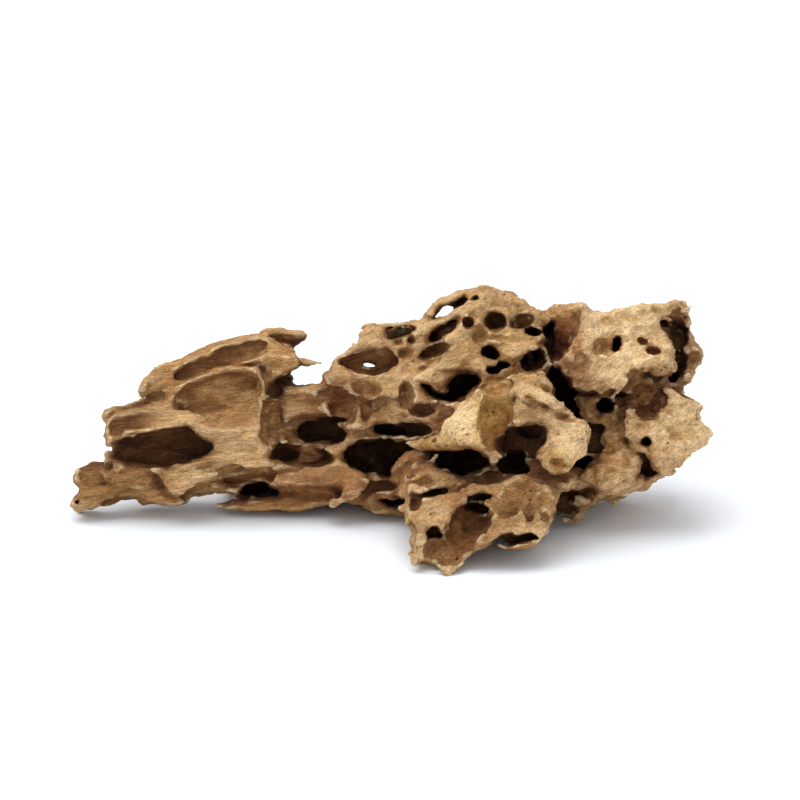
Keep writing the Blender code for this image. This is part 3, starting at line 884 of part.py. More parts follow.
def dip_scoops(wood, cutters):
    """Dips the small scoops into the surface."""
    tree = skin(wood)
    meshes = []
    for scoop in SCOOPS:
        meshes += scoop_meshes(tree, scoop)
    scoops = joined("scoops", meshes, cutters)
    fuse(scoops)
    cut(wood, scoops)


def make_wood(parts, cutters):
    """The whole lump, as the front view is drawn."""
    core = make_core(parts, cutters)
    faces = make_faces(parts)
    meshes = [core.data, faces.data]
    bpy.data.objects.remove(core)
    bpy.data.objects.remove(faces)
    for strand in STRANDS:
        meshes += strand_meshes(strand.name, strand.points)
    wood = joined("honeycomb_wood", meshes, parts)
    fuse(wood, smoothing=1)
    roughen(wood)
    fuse(wood)
    carve(wood, cutters)
    dip_scoops(wood, cutters)
    fuse(wood)
    drop_crumbs(wood)
    return wood


def linear(channel):
    """A colour channel from 0 to 255, made linear."""
    share = channel / 255
    return share / 12.92 if share <= 0.04045 else ((share + 0.055) / 1.055) ** 2.4


def wood_material():
    material = bpy.data.materials.new("driftwood")
    material.use_nodes = True
    shader = material.node_tree.nodes["Principled BSDF"]
    colour = [linear(int(DRY_WOOD[start:start + 2], 16)) for start in (0, 2, 4)]
    shader.inputs["Base Color"].default_value = (*colour, 1)
    shader.inputs["Roughness"].default_value = ROUGHNESS
    shader.inputs["Metallic"].default_value = 0
    return material


def thin_out(wood):
    """Fewer, larger triangles, few enough for the finished lump."""
    decimate = wood.modifiers.new("Thin", "DECIMATE")
    decimate.use_collapse_triangulate = True
    decimate.ratio = TRIANGLES / sum(len(face.vertices) - 2 for face in wood.data.polygons)
    apply_modifiers(wood)


def set_level(wood):
    """Turns the view's tilt out of the lump and centres it over the origin."""
    wood.data.transform(Matrix.Rotation(-VIEW_TILT, 4, "X"))
    xs = [vertex.co.x for vertex in wood.data.vertices]
    ys = [vertex.co.y for vertex in wood.data.vertices]
    wood.data.transform(Matrix.Translation((-(min(xs) + max(xs)) / 2, -(min(ys) + max(ys)) / 2, 0)))


def floor_cutter(group):
    """A block whose top is the surface that the lump rests on."""
    bpy.ops.mesh.primitive_cube_add(size=1)
    block = bpy.context.object
    block.name = "floor_cutter"
    depth = LENGTH / 4
    size = Matrix.Diagonal((2 * LENGTH, LENGTH, depth, 1))
    block.data.transform(Matrix.Translation((0, 0, -depth / 2)) @ size)
    for owner in list(block.users_collection):
        owner.objects.unlink(block)
    group.objects.link(block)
    block.hide_render = True
    block.display_type = "WIRE"
    return block


def cut_flat(wood, block):
    """Takes off all that lies below the surface, which leaves flat feet."""
    boolean = wood.modifiers.new("Feet", "BOOLEAN")
    boolean.operation = "DIFFERENCE"
    boolean.object = block
    apply_modifiers(wood)
    drop_crumbs(wood)


def main():
    for obj in list(bpy.data.objects):
        bpy.data.objects.remove(obj)
    noise.seed_set(NOISE_SEED)
    parts = bpy.data.collections.new("honeycomb wood")
    cutters = bpy.data.collections.new("cutters")
    bpy.context.scene.collection.children.link(parts)
    bpy.context.scene.collection.children.link(cutters)
    wood = make_wood(parts, cutters)
    thin_out(wood)
    set_level(wood)
    cut_flat(wood, floor_cutter(cutters))
    wood.data.name = "honeycomb_wood"
    wood.data.materials.clear()
    wood.data.materials.append(wood_material())


main()
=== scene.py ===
import math
import random
from collections import namedtuple

import bmesh
import bpy
import numpy as np
from mathutils import Matrix, Vector, noise
from mathutils.bvhtree import BVHTree
from mathutils.kdtree import KDTree


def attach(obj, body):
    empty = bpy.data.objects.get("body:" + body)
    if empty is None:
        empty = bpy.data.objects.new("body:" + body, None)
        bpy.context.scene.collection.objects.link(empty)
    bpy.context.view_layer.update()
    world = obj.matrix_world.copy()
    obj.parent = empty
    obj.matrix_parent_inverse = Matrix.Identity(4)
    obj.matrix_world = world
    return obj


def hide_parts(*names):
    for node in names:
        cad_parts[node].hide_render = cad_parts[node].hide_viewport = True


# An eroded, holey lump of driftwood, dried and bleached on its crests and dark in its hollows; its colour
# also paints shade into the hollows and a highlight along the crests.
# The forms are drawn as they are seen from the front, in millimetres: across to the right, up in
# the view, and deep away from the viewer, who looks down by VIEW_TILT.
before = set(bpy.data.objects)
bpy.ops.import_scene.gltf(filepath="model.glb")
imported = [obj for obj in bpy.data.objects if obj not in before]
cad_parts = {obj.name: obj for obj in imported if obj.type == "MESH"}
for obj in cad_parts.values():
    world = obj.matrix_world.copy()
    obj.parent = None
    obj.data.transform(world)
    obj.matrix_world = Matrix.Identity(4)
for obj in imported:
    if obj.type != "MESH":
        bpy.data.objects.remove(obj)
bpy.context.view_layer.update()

LENGTH = 0.300              # real length of the lump, metres
DRAWN_LENGTH = 300          # the same length as it is drawn below
MM = LENGTH / DRAWN_LENGTH  # one drawn millimetre, metres
VIEW_TILT = math.radians(18)
GRAIN = 0.75                # smallest form that the skin holds, millimetres
MOST_TRIANGLES = 194000     # of the wood's skin
SOLVER = "MANIFOLD"         # the exact solver loses most of the lump on these uneven skins

WELD = 0.00001              # gap that a curve's loose caps are welded over, metres
NOISE_SEED = 7              # without it the cells of shell_pattern shift in each run
SMOOTHING = 0.3             # how far a pass of smoothing draws the skin to its mean
WINDOW_REACH = 200          # how far an opening's cutter runs towards the viewer, millimetres
FACE_DEPTH = 62             # cells stay behind this depth, clear of the drawn faces, millimetres
CREST_HEIGHT = 1.7          # millimetres
CREST_REACH = 1.5           # half width of a crest's foot, millimetres
CREST_FACING = 0.5          # below this facing share the skin rises less
CREST_PROFILE = 1.5         # how sharply a crest rises to its line
CREST_SPACING = 0.5         # way from one of a crest's points to the next, millimetres
CREST_PROBE = 0.8           # how far round such a point the surface is felt for, millimetres
CREST_LEAST = 3             # shorter runs of points are dropped
DEPTH_JUMP = 3              # a crest breaks where the surface falls away by more, millimetres
TO_VIEWER = Vector((0, -1, 0))
FACING = -0.12              # a normal's deep part below this turns towards the viewer
RAY_LIFT = 0.0003           # start of a ray above its surface, metres
WEIGHT_STEPS = 10           # steps of the hidden sides' weights
CORE_LUMPINESS = ((24, 10, 0.6), (9, 4, 0.5))    # size and height in millimetres, level
FACE_LUMPINESS = ((14, 4.5, 0.6), (5, 1.6, 0.5))
SCOOP_PROBE = 0.5           # how far apart a scoop's surface is felt for, millimetres
SCOOP_SPREAD = 1.12         # a scoop's ball over the dip that it leaves
SCOOP_ROUNDNESS = 1.2       # least radius of that ball over the dip's depth
CELL_STRETCH = (1.2, 2.4)   # length of a hidden side's cell over its radius, least and most
CELL_SQUASH = (0.6, 1.0)    # its height over its radius
CELL_ROLL = 18              # its turn either way, degrees
WALL_WAVES = (5, 1.3)       # size and height of the waves in a hollow's walls, millimetres
GRAIN_STRETCH = 1.6         # how much longer a weathered cell is along the grain
SHELLS = ((20, 6.0), (9, 2.8))  # size and height of the weathered cells, millimetres
CRUST = ((4.2, 0.9), (2.1, 0.35))  # the same for the smallest cells
RIDGE_SIZE = 5              # usual way from one sharp ridge of the burr to the next, millimetres
RIDGE_HEIGHT = 0.9          # how far its pattern's unit lifts the skin, millimetres
RIDGE_LEVEL = 1.05          # that pattern's usual height
RIDGE_PATTERN = (1, 2, 3, 1, 2)  # its roughness, lacunarity, octaves, offset and gain
GRAIN_SLOPES = (math.radians(8), math.radians(34))  # how the grain rises on the left and the right
CELL_RIM = 0.8              # a cell's half width, as a share of its size
BURR_SPAN = (-50, 30)       # across, where smooth long grain turns into pitted burr, millimetres
BURR_LEAST = 0.15           # how pitted the long grain still is, as a share
TORN_SPAN = (45, 85)        # across, where the burr turns ridged and torn, millimetres
CELL_WARP = (1.7, 0.28)     # how fine and how far a weathered cell's ridges wander, in cells
SHELL_LEVEL = 0.45          # the pattern's usual height, so that it lifts and sinks alike
BACK_SHARE = 0.6            # how much of that height the hidden sides get
BACK_SHRINK = 0.9           # how far they are drawn in, to keep the outline, millimetres
ROUGHEN_REACH = 4           # how soon the hidden sides' weathering takes over, millimetres
EDGE_ROUNDING = 3           # how far in a plate's edge bends back, millimetres
EDGE_DROP = 7               # how far back a thin edge is drawn at most, twice over, millimetres
FIBRE_SIZE = 1.6            # millimetres
FIBRE_STRETCH = 9           # how much longer a fibre is than it is wide
FIBRE_HEIGHT = 0.45         # millimetres

Slab = namedtuple("Slab", "name front back rounding lean_right lean_up outline", defaults=(0, 0, ()))
Lump = namedtuple("Lump", "name centre radii roll", defaults=(0,))
Window = namedtuple("Window", "name floor rounding outline")
Hollow = namedtuple("Hollow", "name centre floor radii roll", defaults=(0,))
Strand = namedtuple("Strand", "name points")
Cells = namedtuple("Cells", "name seed count look middle half radii dig long")
Tint = namedtuple("Tint", "place radii strength")

SHELTER_RAYS = 20
SHELTER_SEED = 7            # of the rays' directions
SHELTER_LEAD = 1.02         # the normal's length over a ray's turn, so that no ray leaves inwards
NEAR_REACH = 5              # a wall this close makes a pit, millimetres
FAR_REACH = 45              # a wall this close makes a hollow, millimetres
LINE_CORE = 0.2             # half width of a pale crest line, bleached wood and a painted highlight, millimetres
LINE_FADE = 0.8             # where it has faded out, millimetres
TINT_EDGE = 1.5             # how steeply a tint ends
TINT_SPAN = 1.2             # how far it reaches past its radii

PICTURE = 800               # the photograph's side, pixels
ORIGIN_PIXEL = (392, 573)   # where the drawing's zero lies in it
PIXEL = 0.4666              # one of its pixels at the lump, millimetres
EYE_DEPTH = 50              # depth of the plane that has this scale, millimetres
EYE_DISTANCE = 2600         # millimetres
SENSOR = 36                 # the camera's, millimetres

FLOOR_SIZE = 6              # metres
PAPER = "EDF1F6"
SKY = (0.94, 0.97, 1, 1)
SKY_STRENGTH = 0.95
KEY_PLACE = (-0.35, 0.0, 2.2)   # metres
KEY_TARGET = (0, 0, 0.05)       # metres
KEY_SIZE = 2.0              # metres
KEY_POWER = 36              # watts

# Two scales of colour from the open crests to the deepest holes, for bleached and for stained wood: painted
# shade that deepens to near black in the holes, along with the darker weathering of sheltered wood.
BLEACHED_WOOD_AND_PAINTED_SHADE = (
    (0.05, "ECC896"), (0.24, "CB9E68"), (0.44, "A97848"),
    (0.64, "835733"), (0.82, "573620"), (1.0, "1E1109"))
STAINED_WOOD_AND_PAINTED_SHADE = (
    (0.05, "AA7C4A"), (0.24, "8A5E35"), (0.44, "704827"),
    (0.64, "57361D"), (0.82, "3A2312"), (1.0, "180C06"))
PALE_EDGE_AND_PAINTED_HIGHLIGHT = "EBD0A2"
PIT_STAIN = "94714E"
OCHRE = "E8DA9E"
RUST = "C49A78"
GREY = "C9C4B4"

# The patterns in the wood's colour: sizes in millimetres, and lengths along the grain over them,
# where there are two on the left and on the right.
PATCHES = {"size": 24, "stretch": 2.0, "detail": 3.0}
MOTTLES = {"size": 7, "stretch": 1.6, "detail": 6.0, "distortion": 0.3}
CLUSTERS = {"size": 11, "stretch": 1.3, "detail": 2.0}
GRIT = {"size": 0.7, "stretch": 1.8, "detail": 3.0}
STREAKS = {"size": 2.6, "stretches": (9.0, 3.0), "distortion": 0.3}
FIBRES = {"size": 0.9, "stretches": (14.0, 3.5), "distortion": 0.4}
DOT_SIZE = 2.6
DOT_STRETCH = 1.4

# How the colours come about: shares that add up to the shelter and the tone, and shades that
# multiply the colour, from a pattern's dark places to its bright ones.
# The hollow and pit shares paint shade into closed-in places, over the darker weathering of sheltered wood.
HOLLOW_SHARE = 0.82
PIT_SHARE = 0.35
MOTTLE_SHARES = (-0.14, 0.18)
PATCH_TONES = (0.08, 0.5)
BLEACHED_TONE = 0.7
STAINED_TONE = 0.5
# Crest and line paleness: the bleaching of exposed crests and a painted highlight along them.
CREST_PALENESS = 0.6
LINE_PALENESS = 0.65
STREAK_SHADES = (0.86, 1.10)
FIBRE_SHADES = (0.69, 1.33)
BURR_QUIET = 0.12           # how much nearer to each other the fibres' shades are in the burr
GRIT_SHADES = (0.76, 1.19)
ROUGHNESS = 0.82
SHINE = 0.25
BUMP_STRENGTH = 0.9
BUMP_DEPTH = 1.5            # millimetres

# Slabs of the mass behind the faces, whose outlines are the outline of the lump.
CORE_SLABS = [
    Slab("wing_core", front=70, back=98, rounding=6, outline=[
        (-132, 54), (-132.8, 60), (-131, 72), (-118, 81), (-104, 86), (-84, 97), (-66, 98), (-56, 90),
        (-50, 84), (-46, 60), (-46, 44), (-60, 38), (-90, 39), (-112, 40), (-124, 46)]),
    Slab("bridge_body", front=65, back=106, rounding=4, lean_right=-0.1, outline=[
        (-62, 46), (-62, 84), (-52, 88), (-40, 88.5), (-30, 89.5), (-10, 92), (14, 90), (14, 32),
        (-10, 30), (-24, 35), (-40, 38), (-60, 40)]),
    Slab("slot_back", front=80, back=98, rounding=2, outline=[
        (10, 104), (12, 113), (20, 117.5), (30, 119), (38, 122), (44, 116), (40, 104)]),
    Slab("roof_back", front=84, back=104, rounding=2.5, outline=[
        (-12, 100), (-12, 114.6), (-8, 116), (-3, 116.6), (4, 117), (10, 116.8), (15, 117), (24, 120.4),
        (30, 121.6), (40, 121), (40, 100), (10, 96)]),
    Slab("wing_end_back", front=78, back=98, rounding=2, outline=[
        (-62, 78), (-62, 92), (-56, 94), (-50, 92.4), (-47, 90), (-48, 86), (-50, 80)]),
    Slab("upper_left", front=54, back=94, rounding=2.5, lean_right=-0.14, lean_up=0.2, outline=[
        (-33, 91.5), (-29.7, 94.5), (-28, 97), (-27.6, 100.5), (-25, 102.2), (-21, 103.4), (-20, 106),
        (-18.4, 108.2), (-16.6, 109), (-16.4, 111.5), (-14.5, 114.3), (-12, 115.9), (-8, 117),
        (-3, 117.3), (4, 117.8), (10, 117.7), (15, 118.4), (22, 119), (28, 122), (34, 124), (44, 118),
        (40, 92), (20, 84), (0, 80), (-20, 82), (-30, 88)]),
    Slab("upper_middle", front=44, back=98, rounding=3.5, lean_up=0.2, outline=[
        (28, 122), (31, 126), (36, 130), (43, 133), (49, 133.2), (54, 132.6), (56, 131.8), (58.4, 130),
        (63.6, 128), (63.6, 125), (66, 124.2), (70.6, 122.6), (75, 119), (77, 98), (70, 86), (54, 82),
        (36, 86), (20, 92), (24, 110)]),
    Slab("right_back", front=54, back=100, rounding=3, lean_up=0.1, outline=[
        (64, 119), (68, 122), (72, 122.8), (76, 125.6), (80, 125.2), (86, 125.4), (89.6, 124.2),
        (93, 121.2), (110, 123), (132, 124), (141.5, 120), (139.8, 113), (141, 107.6), (143.6, 105),
        (145.4, 103), (144.6, 99.6), (140.3, 97), (141, 93), (139.6, 89.6), (133, 87.4), (127, 86),
        (120, 78), (80, 78), (66, 90)]),
    Slab("right_mass", front=46, back=106, rounding=4, outline=[
        (82, 84), (110, 86), (131.5, 83), (141, 74.4), (141, 60), (130, 47.8), (123.4, 43), (118, 39.8),
        (112, 38), (107.8, 34.6), (106.4, 31), (104.4, 30.8), (102, 33.8), (98, 34.4), (95, 33.8),
        (91, 32), (84, 29.6), (76, 34), (72, 50), (74, 70)]),
    Slab("right_foot", front=56, back=88, rounding=1.6, outline=[
        (75, 38), (73.4, 30.4), (74.4, 28.4), (77.6, 26.4), (78.8, 25), (78.9, 23), (80.6, 21.9),
        (86.4, 22.2), (88.2, 25), (90, 27.6), (95, 34)]),
    Slab("front_neck", front=26, back=72, rounding=5, lean_up=0.25, outline=[
        (2, 30), (4, 46), (10, 54), (26, 56), (44, 57), (60, 56), (80, 52), (86, 44), (80, 35),
        (69, 30), (30, 24), (10, 26)]),
    Slab("low_middle", front=68, back=88, rounding=1.6, outline=[
        (-22, 33), (-15.6, 27), (-10, 25.9), (0, 26.8), (9, 26.4), (16, 29), (16, 44), (-10, 44)]),
    Slab("bottom_blade", front=72, back=92, rounding=1.2, outline=[
        (-84.4, 30.4), (-79, 31.4), (-73, 32.6), (-67, 34.6), (-50, 36.4), (-40, 38.4), (-20, 39.4),
        (-18, 31.8), (-30, 30.6), (-42, 28.9), (-52, 28), (-58, 27.6), (-64, 27.7), (-70, 28.8),
        (-77, 29.8)]),
    Slab("gap_back", front=84, back=120, rounding=2, outline=[
        (-82, 39), (-76, 36.4), (-71.6, 33), (-50, 32), (-16, 32), (-16, 50), (-44, 54), (-80, 52)]),
    Slab("window_back", front=92, back=116, rounding=4, outline=[
        (-24, 36), (-14, 34), (26, 37), (34, 46), (34, 70), (-50, 78), (-56, 56)]),
    Slab("bottom_lump", front=67, back=90, rounding=2, outline=[
        (-118.4, 34.8), (-118.4, 33), (-116.6, 31.9), (-112, 31.6), (-107, 30.6), (-102.6, 30.2),
        (-98.4, 30.9), (-94.4, 32.9), (-90.3, 35.5), (-86, 36.4), (-80, 36.7), (-75, 37), (-73, 36),
        (-66, 36), (-58, 42), (-60, 48), (-80, 46), (-100, 43), (-112, 41), (-116, 38)]),
    Slab("upper_prong", front=67, back=86, rounding=1.6, outline=[
        (-150.6, 44.5), (-150, 48), (-147, 50.6), (-141, 52), (-137, 53.8), (-133, 56.6), (-126, 58),
        (-105, 54), (-98, 48), (-104, 39.4), (-118, 40.3), (-139, 40.3), (-148.4, 40.4), (-150.2, 42)]),
    Slab("lower_prong", front=68, back=88, rounding=1.2, outline=[
        (-148.4, 40.6), (-147.4, 38.4), (-148.4, 36.6), (-150.6, 35.2), (-152, 33), (-151.8, 30.3),
        (-149.5, 27.6), (-147.7, 26.6), (-145.8, 28.2), (-142, 29), (-134, 31.4), (-128, 34),
        (-122, 35.7), (-116, 36.2), (-104, 36), (-98, 46), (-118, 41.2), (-140, 41.2)]),
]

# Lumps that fill the mass between and behind the slabs.
CORE_LUMPS = [
    Lump("core", (40, 84, 76), radii=(56, 34, 34), roll=10),
    Lump("right_core", (103, 80, 78), radii=(33.5, 38, 36)),
    Lump("back_low", (66, 56, 92), radii=(50, 26, 30)),
    Lump("back_left", (-16, 66, 96), radii=(56, 24, 16), roll=6),
]

# Openings cut into the mass before the faces are laid in front of them.
DEEP_WINDOWS = [
    Window("dark_scoop", floor=77, rounding=4, outline=[
        (-136, 61), (-122, 64.5), (-112, 66), (-98, 67.7), (-95, 67), (-90, 62), (-84, 59.5),
        (-83.8, 57.5), (-92, 54), (-100, 51.5), (-108, 50.3), (-118, 51.3), (-130, 53.5), (-136, 57)]),
    Window("window_left", floor=95, rounding=2, outline=[
        (-44.5, 65), (-44, 62.5), (-42, 60.5), (-38, 60), (-30, 60.3), (-24, 61), (-21.5, 64),
        (-20.5, 66), (-24, 68.5), (-28, 70.2), (-34, 70.8), (-40, 70), (-43, 68)]),
    Window("window_left_slot", floor=96, rounding=0.6, outline=[
        (-36, 72.6), (-30, 73), (-20, 71.8), (-18.5, 70), (-24, 70.6), (-30, 71.4)]),
    Window("bridge_scoop", floor=78, rounding=2.5, outline=[
        (-58, 53), (-56, 58), (-55, 60.3), (-50, 60), (-45, 59.3), (-38, 58.3), (-32, 57),
        (-28.5, 54.5), (-29, 51.5), (-33, 50), (-40, 49.3), (-48, 50), (-53, 51.3)]),
    Window("window_big", floor=98, rounding=3, outline=[
        (-22.5, 56), (-20, 59), (-14, 61), (-8, 62.3), (0, 62.5), (5, 61), (10, 58), (11, 56.5),
        (8, 54), (4, 51), (2, 49), (0.5, 47.5), (0.5, 45), (-1, 43.5), (-5, 44), (-7, 46.5),
        (-12, 47.3), (-17, 49), (-20, 51), (-22, 54)]),
    Window("window_small", floor=98, rounding=1, outline=[
        (-9.5, 66.7), (-6, 69.2), (0, 69.6), (5, 67), (8, 64.5), (3, 64), (-4, 64.6), (-8, 65.8)]),
    Window("roof_hollow", floor=92, rounding=1, outline=[
        (-4.5, 110), (-4, 109), (1, 108.4), (5, 109.5), (9, 112), (12.4, 114.4), (11, 115.6),
        (5, 115.9), (-1, 115.2), (-4, 114.4), (-3, 112)]),
    Window("long_trough", floor=63, rounding=3.5, outline=[
        (-25.4, 99.2), (-23, 100.6), (-19.6, 102), (-14, 103.2), (-8, 104.4), (-2.8, 105.2), (0.4, 103),
        (2.8, 99.4), (0.8, 96.2), (-3, 94), (-8.4, 92.8), (-14, 93.4), (-18, 94.6), (-22.4, 96.4),
        (-25.2, 97.4)]),
    Window("deep_slot", floor=89, rounding=1.5, outline=[
        (16.5, 109.5), (17, 108), (19.5, 107.8), (23, 109.5), (27, 111.5), (30, 114), (32, 117),
        (31.5, 120), (29, 120.5), (26, 117), (22, 114.5), (18.5, 112.5)]),
    Window("overhang_hollow", floor=92, rounding=2, outline=[
        (13, 89), (15, 85.5), (18, 83), (20, 81.5), (25, 80.3), (30, 80.5), (35, 83), (40, 87),
        (42, 90), (40, 93), (30, 95), (20, 93)]),
    Window("low_hole", floor=84, rounding=1, outline=[
        (42.5, 104.5), (44, 105.4), (47, 105.4), (49.2, 103), (49.2, 100.6), (47, 99.8), (44, 101.3),
        (42.5, 103)]),
    Window("square_hole", floor=80, rounding=0.8, outline=[
        (70.3, 110), (70, 114), (71.5, 116.5), (75, 117.4), (75.3, 111), (73, 109.8)]),
    Window("dark_wall", floor=60, rounding=2, outline=[
        (71, 108.5), (75, 110), (75, 118), (80, 122), (85, 124), (89, 121), (90, 108), (86, 100),
        (80, 96), (75, 97.5), (73, 101), (71.5, 104)]),
    Window("cleft", floor=90, rounding=1.5, outline=[
        (72.5, 91), (75, 97.8), (78, 96.5), (82, 92), (86, 87), (94, 86), (98, 84), (90, 80), (89, 75),
        (91.5, 70.5), (90.5, 68.5), (88, 70), (85, 74), (82, 77), (80, 79.5), (76, 82), (73, 86.5)]),
    Window("under_hole_left", floor=84, rounding=2, outline=[
        (19, 53), (24, 56), (28, 58), (33, 59), (38, 58), (42, 56), (46, 52), (44, 50.3), (40, 48),
        (35, 46), (33, 45.3), (30, 47), (27, 48), (22, 50)]),
    Window("under_hole_mid", floor=78, rounding=1.5, outline=[
        (49, 51), (51, 53.5), (55, 55.5), (60, 55), (62, 52), (62.5, 49), (65, 47.5), (61, 46.5),
        (56, 46.7), (52, 46.5), (50, 48)]),
    Window("under_hole_right", floor=78, rounding=1.2, outline=[
        (82, 53), (86, 55.5), (89, 55), (92, 54.3), (94.7, 53), (94, 50.5), (91.5, 49.5), (90.3, 47.3),
        (88, 48), (85, 50)]),
    Window("right_recess", floor=58, rounding=1.5, outline=[
        (90, 70), (94, 69), (98, 68), (97.5, 65), (96.5, 61), (98.5, 57), (97, 55), (92, 56), (88, 58),
        (88, 66)]),
    Window("black_gap", floor=97, rounding=0.8, outline=[
        (-73.5, 36.6), (-70, 40), (-65, 42), (-60, 41.5), (-57, 39.3), (-57, 38.6), (-62, 36.4),
        (-66, 36)]),
    Window("low_right_dark", floor=88, rounding=1, outline=[
        (-9, 33.2), (-6, 35.3), (8, 36.5), (8, 31), (0, 30.6)]),
]

# Rounded hollows cut into the mass, some wider inside than their openings.
DEEP_HOLLOWS = [
    Hollow("cavity_left", (-33, 66.5), floor=99, radii=(19, 7.5, 10)),
    Hollow("cavity_big", (-4, 53.5), floor=101, radii=(19, 11, 13)),
    Hollow("cavity_small", (2, 67), floor=100, radii=(10, 4, 14)),
    Hollow("cavity_neck", (36, 52), floor=88, radii=(20, 9, 22)),
    Hollow("cavity_cleft", (82, 84), floor=94, radii=(7, 9, 22), roll=-30),
    Hollow("window_left_funnel", (-37.5, 66), floor=80, radii=(15.5, 8.4, 17)),
    Hollow("bridge_scoop_dark", (-50, 54.8), floor=88, radii=(8.4, 4.3, 24)),
    Hollow("window_small_dish", (10, 66.8), floor=70, radii=(9, 3.5, 16), roll=-3),
    Hollow("wing_end_channel", (-55.5, 69), floor=74, radii=(4.6, 13, 12), roll=-4),
    Hollow("wing_end_upper", (-55.5, 86), floor=75, radii=(4, 4.4, 7), roll=20),
    Hollow("bridge_face_a", (-40, 80), floor=68.5, radii=(12, 5, 8), roll=-10),
    Hollow("bridge_face_b", (-25, 81), floor=69.5, radii=(9, 8, 9)),
    Hollow("round_pit", (48.2, 117.3), floor=60, radii=(5.3, 4.7, 16)),
    Hollow("under_upper", (119.5, 82), floor=52, radii=(8.4, 9.5, 12)),
    Hollow("round_neighbour", (107, 80.5), floor=64, radii=(4.8, 4.2, 24)),
    Hollow("under_plate_dark", (120, 51), floor=60, radii=(7, 6, 14), roll=-20),
    Hollow("under_plate_left", (111, 58), floor=56, radii=(4.5, 9, 12), roll=25),
    Hollow("low_hole_a", (81, 35.8), floor=68, radii=(4.8, 3.7, 26), roll=10),
    Hollow("low_hole_b", (80.5, 29.4), floor=76, radii=(6.2, 3.2, 20), roll=-10),
    Hollow("low_hole_c", (92, 37.4), floor=58, radii=(3.2, 2.7, 12)),
    Hollow("low_hole_d", (95.2, 33.2), floor=66, radii=(2.5, 2.3, 18)),
    Hollow("low_hole_e", (103, 34), floor=70, radii=(5, 2.6, 24)),
    Hollow("right_cavity_a", (128.5, 116.5), floor=72, radii=(6, 3.6, 26), roll=-20),
    Hollow("right_cavity_b", (134, 111), floor=68, radii=(5, 7.5, 14)),
    Hollow("right_cavity_c", (134, 99), floor=68, radii=(4.5, 6.5, 14), roll=10),
    Hollow("right_hole", (132.2, 91), floor=84, radii=(3.5, 3.2, 40)),
]

